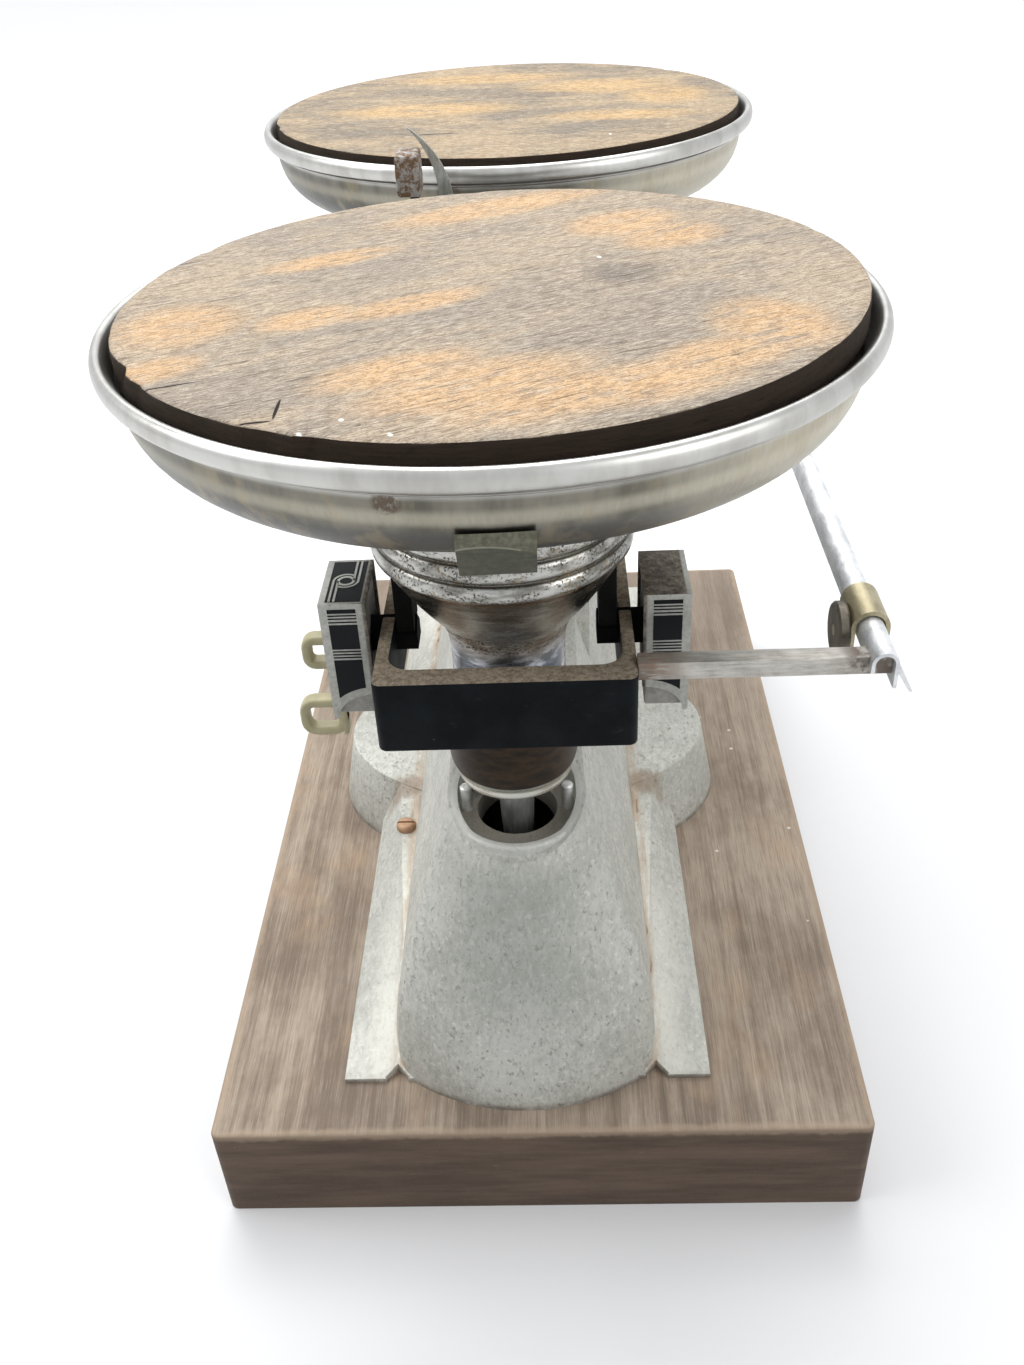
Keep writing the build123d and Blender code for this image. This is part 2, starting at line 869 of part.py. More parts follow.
def pan_stem(end):
    """Tapered stem with a spigot into the column and a tongue for the link."""
    taper_bottom = column_bottom - stem_taper_length
    shoulder = link_z + link_end_radius + link_fork_gap / 4
    outline = Polyline(
        (0, shoulder),
        (stem_radius, shoulder),
        (stem_radius, taper_bottom),
        (stem_top_radius, column_bottom - stem_collar),
        (stem_top_radius, column_bottom),
        (stem_spigot_radius, column_bottom),
        (stem_spigot_radius, column_bottom + stem_spigot_length - 1),
        (0, column_bottom + stem_spigot_length - 1),
        close=True,
    )
    tongue = block((-stem_tongue / 2, stem_tongue / 2), (-stem_radius, stem_radius),
                   (link_z - link_end_radius, shoulder + 1))
    tongue -= pin_along_x(link_pin_radius, -link_width, link_width, 0, link_z)
    return Pos(0, end * pan_reach, 0) * (turned(outline) + tongue)


def stem_pin(end):
    return pin_along_x(link_pin_radius, -link_width, link_width, end * pan_reach, link_z)


def pan_bearings(end):
    """Blocks under the flare with an inverted V that sits on the knife edge."""
    start = end_knife_inner + pan_bearing_side
    top = knife_z + head_rise
    vee = across_beam(notch(knife_z + bearing_gap, pan_bearing_leg + 1, -1), start, start + pan_bearing_width)
    right = block((start, start + pan_bearing_width), (-pan_bearing_half_length, pan_bearing_half_length),
                  (knife_z - pan_bearing_leg, top))
    right = right - vee - turned(column_outline())
    right = right.solids().sort_by(Axis.Z)[0]
    moved = Pos(0, end * pan_reach, 0) * right
    return [moved, mirrored_x(moved)]


def dish_wall_arc():
    """Outer wall of the dish from its crease to the step under the rim."""
    return ThreePointArc(
        (dish_crease_radius, dish_floor + dish_crease_height),
        (dish_wall_radius, dish_floor + dish_wall_height),
        (dish_step_radius, dish_floor + dish_step_height),
    )


def dish_shape():
    """Sheet dish with a convex wall, a step that seats the disc and a rolled rim."""
    floor = dish_floor
    wall = dish_wall_arc()
    step_z = floor + dish_step_height
    rim_z = floor + dish_rim_height
    rim_inner = dish_rim_radius - 2 * dish_roll
    outside = Line((0, floor), (dish_floor_radius, floor))
    outside += Line((dish_floor_radius, floor), wall @ 0)
    outside += wall
    outside += Line(wall @ 1, (rim_inner + dish_sheet, step_z + dish_sheet))
    outside += Line((rim_inner + dish_sheet, step_z + dish_sheet), (rim_inner + dish_sheet, rim_z))
    outside += Line((rim_inner + dish_sheet, rim_z), (0, rim_z))
    outside += Line((0, rim_z), (0, floor))
    inner_wall = ThreePointArc(
        (dish_crease_radius - dish_sheet / 2, floor + dish_crease_height + dish_sheet),
        (dish_wall_radius - dish_sheet, floor + dish_wall_height + dish_sheet / 2),
        (dish_step_radius - dish_sheet, step_z + dish_sheet / 2),
    )
    inside = Line((0, floor + dish_sheet), (dish_floor_radius, floor + dish_sheet))
    inside += Line((dish_floor_radius, floor + dish_sheet), inner_wall @ 0)
    inside += inner_wall
    inside += Line(inner_wall @ 1, (rim_inner, step_z + dish_sheet / 2))
    inside += Line((rim_inner, step_z + dish_sheet / 2), (rim_inner, rim_z + 1))
    inside += Line((rim_inner, rim_z + 1), (0, rim_z + 1))
    inside += Line((0, rim_z + 1), (0, floor + dish_sheet))
    dish = turned(outside) - turned(inside)
    dish += Pos(0, 0, rim_z) * Torus(dish_rim_radius - dish_roll, dish_roll)
    return dish


def dish(end):
    return Pos(0, end * pan_reach, 0) * dish_shape()


def disc_bottom():
    return dish_floor + dish_step_height + dish_sheet / 2 + disc_seat_gap


def wood_disc(end):
    bottom = disc_bottom()
    disc = post(disc_radius, bottom, bottom + disc_thickness)
    disc = chamfer(disc.edges(), disc_edge)
    if end < 0:
        lift = disc_radius * math.sin(math.radians(near_disc_tilt))
        middle = Pos(0, 0, bottom + lift)
        disc = middle * Rot(0, -near_disc_tilt, 0) * Pos(0, 0, -bottom) * disc
    return Pos(0, end * pan_reach, 0) * disc


def spider_arm():
    """Strip from the hub out under the dish, its end leaning out along the wall."""
    seat = dish_floor - disc_seat_gap
    arm_bottom = seat - spider_thickness
    tab_top = arm_bottom + tab_rise + tab_crown
    outline = Polyline(
        (spider_hub_radius - 4, head_top),
        (spider_hub_radius + 2, head_top),
        (spider_seat_radius + 1, arm_bottom),
        (tab_foot_radius, arm_bottom),
        (tab_radius, arm_bottom + tab_rise),
        (tab_radius - disc_seat_gap, tab_top),
        (tab_radius - tab_depth, tab_top),
        (tab_foot_radius - tab_depth, seat),
        (spider_seat_radius, seat),
        (spider_hub_radius, head_top + spider_thickness),
        (spider_hub_radius - 4, head_top + spider_thickness),
        close=True,
    )
    arm = along_beam(outline, -spider_width / 2, spider_width / 2)
    keep_out = turned(dish_keep_out())
    return arm - keep_out


def dish_keep_out():
    """Outline of the dish's outside with the seat's gap all round."""
    gap = disc_seat_gap
    floor = dish_floor - gap
    outline = Line((0, floor), (dish_floor_radius + gap, floor))
    crease = (dish_crease_radius + gap, dish_floor + dish_crease_height - gap)
    bulge = (dish_wall_radius + gap, dish_floor + dish_wall_height - gap / 2)
    step = (dish_step_radius + gap, dish_floor + dish_step_height)
    outline += Line((dish_floor_radius + gap, floor), crease)
    outline += ThreePointArc(crease, bulge, step)
    outline += Line(step, (0, step[1]))
    outline += Line((0, step[1]), (0, floor))
    return outline


def spider(end):
    turn = near_arm_turn if end < 0 else far_arm_turn
    shape = post(spider_hub_radius, head_top, head_top + spider_thickness)
    for number in range(3):
        shape += Rot(0, 0, -90 + turn + number * 120) * spider_arm()
    shape -= post(spider_screw_shank, head_top, head_top + spider_thickness)
    return Pos(0, end * pan_reach, 0) * shape


def spider_screw(end):
    seat = head_top + spider_thickness
    head = post(spider_screw_radius, seat, seat + spider_screw_height)
    head = fillet(head.edges().group_by(Axis.Z)[-1], screw_head_round)
    half_slot = spider_screw_slot / 2
    slot = block((-spider_screw_radius, spider_screw_radius), (-half_slot, half_slot),
                 (seat + spider_screw_height - spider_screw_slot, seat + spider_screw_height))
    shank = post(spider_screw_shank, seat - 2 * spider_screw_height, seat)
    return Pos(0, end * pan_reach, 0) * (head - slot + shank)


def check_link():
    """Parallel link low in the casting, forked at both ends round the stems."""
    eye = link_end_radius
    bar = block((-link_width / 2, link_width / 2), (-pan_reach, pan_reach),
                (link_z - link_height / 2, link_z + link_height / 2))
    clearances = {-pan_reach: link_end_clearance, 0: link_clearance, pan_reach: link_end_clearance}
    for y, clearance in clearances.items():
        bar += pin_along_x(eye, -link_width / 2, link_width / 2, y, link_z)
        bar -= pin_along_x(link_pin_radius + clearance, -link_width, link_width, y, link_z)
    for end in ends.values():
        limits = sorted((end * (pan_reach - 2 * eye), end * (pan_reach + 2 * eye)))
        bar -= block((-link_fork_gap / 2, link_fork_gap / 2), tuple(limits),
                     (link_z - 2 * eye, link_z + 2 * eye))
    return bar


def check_pin():
    return pin_along_x(link_pin_radius, -link_pin_half, link_pin_half, 0, link_z)


def nodes():
    """Every sub-part by its name."""
    parts = {
        "wood_board": board_with_holes(),
        "base_casting": base_casting(),
        "casting_screws": ledge_screws(),
        "bearing_bracket": bearing_bracket(),
        "bracket_screws": bracket_screws(),
        "main_bearings": main_bearings(),
        "index_post": index_post(),
        "index_block": index_block(),
        "check_link_pin": check_pin(),
        "check_link": check_link(),
        "beam_frame": beam_frame(),
        "main_knife_edge": main_knife_edge(),
        "pointer": pointer_blade(),
        "pointer_clamp": pointer_clamp(),
        "cream_clip": cream_clip(),
        "scale_rail": scale_rail(),
        "poise_saddle": poise_saddle(),
        "poise_weight": poise_weight(),
        "poise_rivet": poise_rivet(),
    }
    for end_name, end in ends.items():
        parts[end_name + "_stop_pins"] = stop_pins(end)
        parts[end_name + "_knife_edges"] = end_knife_edges(end)
        parts[end_name + "_knife_brackets"] = knife_edge_brackets(end)
        parts[end_name + "_scale_bar"] = scale_bar(end)
        parts[end_name + "_pan_column"] = pan_column(end)
        parts[end_name + "_pan_stem"] = pan_stem(end)
        parts[end_name + "_stem_pin"] = stem_pin(end)
        parts[end_name + "_pan_bearings"] = pan_bearings(end)
        parts[end_name + "_spider"] = spider(end)
        parts[end_name + "_spider_screw"] = spider_screw(end)
        parts[end_name + "_dish"] = dish(end)
        parts[end_name + "_wood_disc"] = wood_disc(end)
        for side_name, side in sides.items():
            parts[end_name + "_" + side_name + "_cover"] = cover(end, side)
    return parts


os.makedirs("parts", exist_ok=True)
for name, shape in nodes().items():
    if isinstance(shape, list):
        shape = Compound(children=shape)
    export_step(shape, "parts/" + name + ".step")
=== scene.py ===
import math
import random
import bmesh
import bpy
from mathutils import Matrix, Vector


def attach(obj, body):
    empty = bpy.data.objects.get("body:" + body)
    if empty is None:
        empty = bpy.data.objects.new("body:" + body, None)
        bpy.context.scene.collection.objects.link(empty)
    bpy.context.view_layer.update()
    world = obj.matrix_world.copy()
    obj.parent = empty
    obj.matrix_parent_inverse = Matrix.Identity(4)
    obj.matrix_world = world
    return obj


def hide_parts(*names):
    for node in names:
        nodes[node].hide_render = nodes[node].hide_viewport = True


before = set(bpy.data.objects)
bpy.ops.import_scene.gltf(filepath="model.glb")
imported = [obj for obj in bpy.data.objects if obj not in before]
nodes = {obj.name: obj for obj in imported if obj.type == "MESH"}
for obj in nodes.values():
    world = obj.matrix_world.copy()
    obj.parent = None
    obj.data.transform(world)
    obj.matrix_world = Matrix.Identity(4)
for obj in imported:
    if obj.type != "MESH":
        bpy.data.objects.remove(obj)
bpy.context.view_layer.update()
mm = 0.001  # sizes are written in millimetres
# heights above the table, and how far each pan stands from the middle
levels = {"boardTop": 32.3, "dishFloor": 208.2, "panReach": 91.5}
ends = {"near": -1, "far": 1}
print("frame loaded with", len(nodes), "nodes")


def operator(operation, swapped=False):
    # a method of Value that adds a Math node
    def method(self, other=0.0):
        first, second = (other, self) if swapped else (self, other)
        return self.finish.node("ShaderNodeMath", {"operation": operation}, {0: first, 1: second})
    return method


class Value:
    # a shader value that can be reckoned with
    def __init__(self, finish, socket):
        self.finish = finish
        self.socket = socket

    __add__ = operator("ADD")
    __radd__ = operator("ADD", True)
    __sub__ = operator("SUBTRACT")
    __rsub__ = operator("SUBTRACT", True)
    __mul__ = operator("MULTIPLY")
    __rmul__ = operator("MULTIPLY", True)
    __truediv__ = operator("DIVIDE")
    __abs__ = operator("ABSOLUTE")
    lower = operator("MINIMUM")
    higher = operator("MAXIMUM")
    fraction = operator("FRACT")
    root = operator("SQRT")

    def fade(self, low, high):
        # 0 below low, 1 above high, smooth between
        steps = {"Value": self, "From Min": low, "From Max": high}
        return self.finish.node("ShaderNodeMapRange", {"interpolation_type": "SMOOTHSTEP"}, steps)

    def within(self, low, lowFull, highFull, high):
        # 1 between the two middle values, 0 beyond the outer ones
        return self.fade(low, lowFull) * (1 - self.fade(highFull, high))


class Finish:
    # one procedural material, built up from Object coordinates
    def __init__(self, name):
        self.material = bpy.data.materials.new(name)
        self.material.use_nodes = True
        self.tree = self.material.node_tree
        self.shader = self.tree.nodes["Principled BSDF"]
        self.place = self.node("ShaderNodeTexCoord", {}, {}, "Object")
        self.facing = self.node("ShaderNodeTexCoord", {}, {}, "Normal")

    def node(self, kind, settings, inputs, output=0):
        made = self.tree.nodes.new(kind)
        for key, setting in settings.items():
            setattr(made, key, setting)
        for key, given in inputs.items():
            self.feed(made.inputs[key], given)
        return Value(self, made.outputs[output])

    def feed(self, socket, given):
        if isinstance(given, Value):
            self.tree.links.new(given.socket, socket)
        elif socket.type == "RGBA":
            socket.default_value = (*given, 1.0)
        else:
            socket.default_value = given

    def shape(self, **inputs):
        # gives the shader its inputs, written with underscores for spaces
        for key, given in inputs.items():
            self.feed(self.shader.inputs[key.replace("_", " ")], given)

    def mix(self, first, second, factor):
        return self.node("ShaderNodeMix", {"data_type": "RGBA"}, {0: factor, 6: first, 7: second}, 2)

    def stretched(self, size, turn=0.0, middle=(0, 0, 0)):
        # coordinates counted in cells of that size in mm, turned about Z
        moved = {"Vector": self.place, "Location": tuple(c * mm for c in middle), "Rotation": (0, 0, turn)}
        turned = self.node("ShaderNodeMapping", {"vector_type": "TEXTURE"}, moved)
        cells = tuple(1 / (s * mm) for s in size)
        return self.node("ShaderNodeVectorMath", {"operation": "MULTIPLY"}, {0: turned, 1: cells})

    def noise(self, size, detail=4.0, rough=0.6, seed=0.0, wave=0.0, turn=0.0):
        # soft noise whose cells are that size in mm, one number or three
        cell = size if isinstance(size, tuple) else (size, size, size)
        where = self.stretched(cell, turn, (seed, seed * 1.7, seed * 0.6))
        given = {"Vector": where, "Scale": 1.0, "Detail": detail, "Roughness": rough, "Distortion": wave}
        return self.node("ShaderNodeTexNoise", {}, given)

    def pits(self, size, radius, seed=0.0):
        # 1 inside scattered round spots
        where = self.stretched((size, size, size), 0.0, (seed, seed, seed))
        near = self.node("ShaderNodeTexVoronoi", {}, {"Vector": where, "Scale": 1.0})
        return 1 - near.fade(radius * 0.6, radius)

    def part(self, vector, name):
        return self.node("ShaderNodeSeparateXYZ", {}, {"Vector": vector}, name)

    def axis(self, name):
        # where the surface is along X, Y or Z, in mm
        return self.part(self.place, name) / mm

    def up(self):
        # 1 on faces that look straight up, 0 on upright ones
        return self.part(self.facing, "Z")

    def spot(self, x, y, width, length, turn=0.0, ragged=None):
        # a soft oval patch seen from above, sizes in mm, its edge torn by the ragged noise
        cells = self.stretched((width, length, 1000), turn, (x, y, 0))
        px, py = self.part(cells, "X"), self.part(cells, "Y")
        away = px * px + py * py
        if ragged:
            away = away + (ragged - 0.5) * 1.6
        return 1 - away.fade(0.1, 1.15)

    def bump(self, height, depth):
        # depth is the real height in mm of a full step of the pattern
        return self.node("ShaderNodeBump", {}, {"Height": height, "Distance": depth * mm, "Strength": 1.0})


def dress(node, finish):
    for slot in nodes[node].material_slots:
        slot.material = finish


def addObject(name, data):
    made = bpy.data.objects.new(name, data)
    bpy.context.scene.collection.objects.link(made)
    return made


def addMesh(bm, name, finish):
    mesh = bpy.data.meshes.new(name)
    bm.to_mesh(mesh)
    bm.free()
    mesh.materials.append(finish)
    return addObject(name, mesh)


def newPiece(bm, name, body, finish, crease=35):
    # a piece that rides on a body, smooth except at edges that turn by more than crease degrees
    for face in bm.faces:
        face.smooth = True
    for edge in bm.edges:
        edge.smooth = edge.calc_face_angle(0.0) < math.radians(crease)
    piece = addMesh(bm, name, finish)
    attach(piece, body)
    return piece


def chain(bm, points, closed=False):
    # a few points, in mm, joined by edges
    verts = [bm.verts.new(Vector(p) * mm) for p in points]
    pairs = list(zip(verts, verts[1:]))
    if closed:
        pairs.append((verts[-1], verts[0]))
    return [bm.edges.new(pair) for pair in pairs]


# how near points in mm have to be to become one, and the angles in degrees of flat and sharp edges
joining = {"spun": 0.0005, "worn": 0.002, "flat": 0.5, "sharp": 30}


def spun(outline, y, steps):
    # turns an outline of (radius, height) about the upright axis at y
    bm = bmesh.new()
    edges = chain(bm, [(radius, y, z) for radius, z in outline])
    bmesh.ops.spin(
        bm, geom=list(bm.verts) + edges, cent=(0, y * mm, 0), axis=(0, 0, 1),
        angle=math.tau, steps=steps, use_merge=True,
    )
    bmesh.ops.remove_doubles(bm, verts=bm.verts, dist=joining["spun"] * mm)
    bmesh.ops.recalc_face_normals(bm, faces=bm.faces)
    return bm


def pushOut(bm, faces, push):
    # extrudes faces and moves what is new by push, in mm
    made = bmesh.ops.extrude_face_region(bm, geom=faces)
    raised = [v for v in made["geom"] if isinstance(v, bmesh.types.BMVert)]
    bmesh.ops.translate(bm, verts=raised, vec=Vector(push) * mm)


def roundSharp(bm, width, degrees, segments=2):
    # rounds the edges that turn by more than those degrees
    edges = [e for e in bm.edges if e.calc_face_angle(0.0) > math.radians(degrees)]
    bmesh.ops.bevel(
        bm, geom=edges, offset=width * mm, segments=segments, profile=0.5,
        affect="EDGES", material=-1, clamp_overlap=True,
    )


def softened(node, body, finish, width):
    # stands for a CAD node, with its sharp edges worn round
    bm = bmesh.new()
    bm.from_mesh(nodes[node].data)
    bmesh.ops.remove_doubles(bm, verts=bm.verts, dist=joining["worn"] * mm)
    flat = math.radians(joining["flat"])
    bmesh.ops.dissolve_limit(bm, angle_limit=flat, verts=bm.verts, edges=bm.edges)
    roundSharp(bm, width, joining["sharp"])
    piece = newPiece(bm, node + "_worn", body, finish)
    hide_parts(node)


def subdivide(piece, level):
    made = piece.modifiers.new("smooth", "SUBSURF")
    made.levels = level
    made.render_levels = level


# place in mm, angles in degrees, and the focal length in pixels of a picture that wide
cameraSet = {
    "place": (11.9, -331.6, 308.2), "pitch": 35.25, "yaw": -2.75, "roll": -3.18,
    "focal": 1243.0, "pictureWidth": 1024, "sensor": 36.0,
}


def placeCamera():
    pitch = math.radians(cameraSet["pitch"])
    yaw = math.radians(cameraSet["yaw"])
    roll = math.radians(cameraSet["roll"])
    ahead = Vector((math.sin(yaw) * math.cos(pitch), math.cos(yaw) * math.cos(pitch), -math.sin(pitch)))
    right = ahead.cross(Vector((0, 0, 1))).normalized()
    up = right.cross(ahead)
    rolledRight = math.cos(roll) * right + math.sin(roll) * up
    rolledUp = -math.sin(roll) * right + math.cos(roll) * up
    turn = Matrix((rolledRight, rolledUp, -ahead)).transposed().to_4x4()
    data = bpy.data.cameras.new("studioCamera")
    data.sensor_fit = "HORIZONTAL"
    data.sensor_width = cameraSet["sensor"]
    data.lens = cameraSet["focal"] / cameraSet["pictureWidth"] * cameraSet["sensor"]
    data.clip_start = 0.01
    camera = addObject("studioCamera", data)
    camera.matrix_world = Matrix.Translation(Vector(cameraSet["place"]) * mm) @ turn
    bpy.context.scene.camera = camera


placeCamera()
print("camera placed")


# pale floor, soft lamps and pale world, in metres and watts; glowEnd is a distance squared
studio = {
    "floorSize": 16.0, "floorColour": (0.74, 0.745, 0.755), "floorBounce": 0.42, "cloudSize": 260.0,
    "glowNear": (0.12, 0.12, 0.12), "glowFar": (0.60, 0.60, 0.61), "glowEnd": 2.6,
    "worldColour": (0.95, 0.97, 1.0), "worldStrength": 0.35, "worldSeen": 1.0,
    "lamps": {
        "skylight": {"place": (-0.10, 0.50, 1.25), "aim": (0, 0.02, 0.1), "size": 1.2, "power": 22.0},
        "window": {"place": (-1.1, -0.2, 1.0), "aim": (0, 0, 0.12), "size": 0.8, "power": 8.0},
        "fill": {"place": (1.25, -0.95, 0.8), "aim": (0, 0, 0.12), "size": 1.0, "power": 9.5},
    },
}


def seenDirectly(tree):
    # 1 for the camera and for reflections, 0 for light on its way between surfaces
    rays = tree.nodes.new("ShaderNodeLightPath")
    total = rays.outputs["Is Camera Ray"]
    for other in ("Is Glossy Ray", "Is Transmission Ray"):
        either = tree.nodes.new("ShaderNodeMath")
        either.operation = "MAXIMUM"
        tree.links.new(total, either.inputs[0])
        tree.links.new(rays.outputs[other], either.inputs[1])
        total = either.outputs[0]
    return total


def floorFinish():
    # pale where it is seen, far off too, but dimmer in the light that it throws back up
    finish = Finish("pale_floor")
    shade = finish.noise(studio["cloudSize"], detail=3.0)
    low = tuple(c * 0.97 for c in studio["floorColour"])
    dim = tuple(c * studio["floorBounce"] for c in studio["floorColour"])
    pale = finish.mix(low, studio["floorColour"], shade)
    seen = Value(finish, seenDirectly(finish.tree))
    x, y = finish.part(finish.place, "X"), finish.part(finish.place, "Y")
    away = x * x + y * y
    glow = finish.mix(studio["glowNear"], studio["glowFar"], away.fade(0.0, studio["glowEnd"]))
    glow = finish.mix((0.0, 0.0, 0.0), glow, seen)
    finish.shape(
        Base_Color=finish.mix(dim, pale, seen), Roughness=0.55 + shade * 0.1, Emission_Color=glow,
        Emission_Strength=1.0, Normal=finish.bump(shade, 0.5),
    )
    return finish.material


def layFloor():
    bm = bmesh.new()
    bmesh.ops.create_grid(bm, x_segments=1, y_segments=1, size=studio["floorSize"] / 2)
    floor = addMesh(bm, "studio_floor", floorFinish())


def hangLamps():
    for name, lamp in studio["lamps"].items():
        data = bpy.data.lights.new(name, "AREA")
        data.size = lamp["size"]
        data.energy = lamp["power"]
        light = addObject(name, data)
        place = Vector(lamp["place"])
        light.location = place
        light.rotation_euler = (Vector(lamp["aim"]) - place).to_track_quat("-Z", "Y").to_euler()


def paleWorld():
    world = bpy.data.worlds.new("pale_world")
    world.use_nodes = True
    bpy.context.scene.world = world
    tree = world.node_tree
    ground = tree.nodes["Background"]
    strength = tree.nodes.new("ShaderNodeMapRange")
    strength.inputs["To Min"].default_value = studio["worldStrength"]
    strength.inputs["To Max"].default_value = studio["worldSeen"]
    tree.links.new(seenDirectly(tree), strength.inputs["Value"])
    tree.links.new(strength.outputs[0], ground.inputs["Strength"])
    ground.inputs["Color"].default_value = (*studio["worldColour"], 1.0)


layFloor()
hangLamps()
paleWorld()
bpy.context.scene.view_settings.view_transform = "Standard"
print("studio ready")


# the board's middle, half sizes and how far the rubbed edge wanders, in mm
board = {"middle": 3.3, "halfWidth": 85.0, "halfLength": 140.0, "rub": 3.4}


def boardWood():
    # old stained plank, fine grain along the beam, rubbed pale at its edges
    finish = Finish("walnut_board")
    x, y, z = finish.axis("X"), finish.axis("Y"), finish.axis("Z")
    fibre = finish.noise((0.4, 12.0, 0.9), detail=3.0, rough=0.65)
    band = finish.noise((3.0, 130.0, 6.0), detail=5.0, rough=0.7, seed=17.0, wave=0.2)
    cloud = finish.noise((30.0, 42.0, 30.0), detail=6.0, rough=0.65, seed=40.0)
    tone = band * 0.5 + cloud * 0.5
    wood = finish.mix((0.215, 0.165, 0.126), (0.46, 0.378, 0.298), tone.fade(0.38, 0.62))
    warm = finish.noise((20.0, 34.0, 20.0), detail=4.0, seed=63.0).fade(0.54, 0.70)
    wood = finish.mix(wood, (0.50, 0.35, 0.225), warm * 0.4)
    wood = finish.mix(wood, (0.18, 0.135, 0.10), fibre.fade(0.48, 0.66) * 0.4)
    wood = finish.mix(wood, (0.60, 0.51, 0.42), (1 - fibre.fade(0.32, 0.44)) * 0.26)
    # painted shade: the board darkens towards its far end, standing in for the far pan's shadow
    wood = finish.mix(wood, (0.24, 0.19, 0.15), y.fade(10.0, 130.0) * 0.6)
    # the upright sides are much darker than the top: their sawn colour, deepened by painted shade
    sawnBand = finish.noise((46.0, 46.0, 5.0), detail=6.0, rough=0.7, seed=11.0)
    sawnAndShaded = finish.mix((0.09, 0.062, 0.045), (0.175, 0.122, 0.089), sawnBand.fade(0.3, 0.7))
    level = finish.up().fade(0.4, 0.8)
    colour = finish.mix(sawnAndShaded, wood, level)
    toEdge = (board["halfWidth"] - abs(x - board["middle"])).lower(board["halfLength"] - abs(y))
    fromTop = levels["boardTop"] - z
    rub = finish.noise(5.0, detail=6.0, seed=5.0)
    edge = 1 - (toEdge.higher(fromTop) - rub * board["rub"]).fade(-0.8, 1.0)
    colour = finish.mix(colour, (0.45, 0.345, 0.25), edge * 0.64)
    scratch = finish.noise((3.5, 3.5, 0.7), detail=5.0, seed=70.0).fade(0.66, 0.70)
    scratch = scratch * finish.noise(22.0, seed=91.0).fade(0.50, 0.62) * (1 - level)
    colour = finish.mix(colour, (0.40, 0.36, 0.32), scratch * 0.6)
    dust = finish.pits(15.0, 0.05, seed=9.0) * level
    colour = finish.mix(colour, (0.72, 0.68, 0.60), dust)
    finish.shape(
        Base_Color=colour, Roughness=0.56 + fibre * 0.25, Specular_IOR_Level=0.3,
        Normal=finish.bump(rub * 0.3 - fibre * 0.5 - band * 0.5, 0.28),
    )
    return finish.material


casting = {
    # in mm: the tan line beside the middle, the ledges' fall from it, and the wells' lips
    "seam": 33.6, "ledgeEnd": 124.0, "ledgeRise": 23.5, "lipInner": 15.1, "lipOuter": 17.2,
    # fades of the pale ledges, painted light with some dust: along the height, outwards from the seam and
    # towards the end
    "ledgeTop": (48.0, 54.0), "ledgeSide": (38.0, 45.0), "ledgeAlong": (42.0, 56.0),
    # the nose's painted shade, dark on its upper middle: from the middle outwards, then its lower and upper
    # levels
    "noseSide": (6.0, 27.0), "noseLevels": (44.0, 74.0, 90.0, 100.0),
    # brown pockets of painted shadow beside the drum, under the beam: x, y, width and length
    "shadowPockets": [(29, 37, 6, 8), (38, 30, 7, 6)],
}


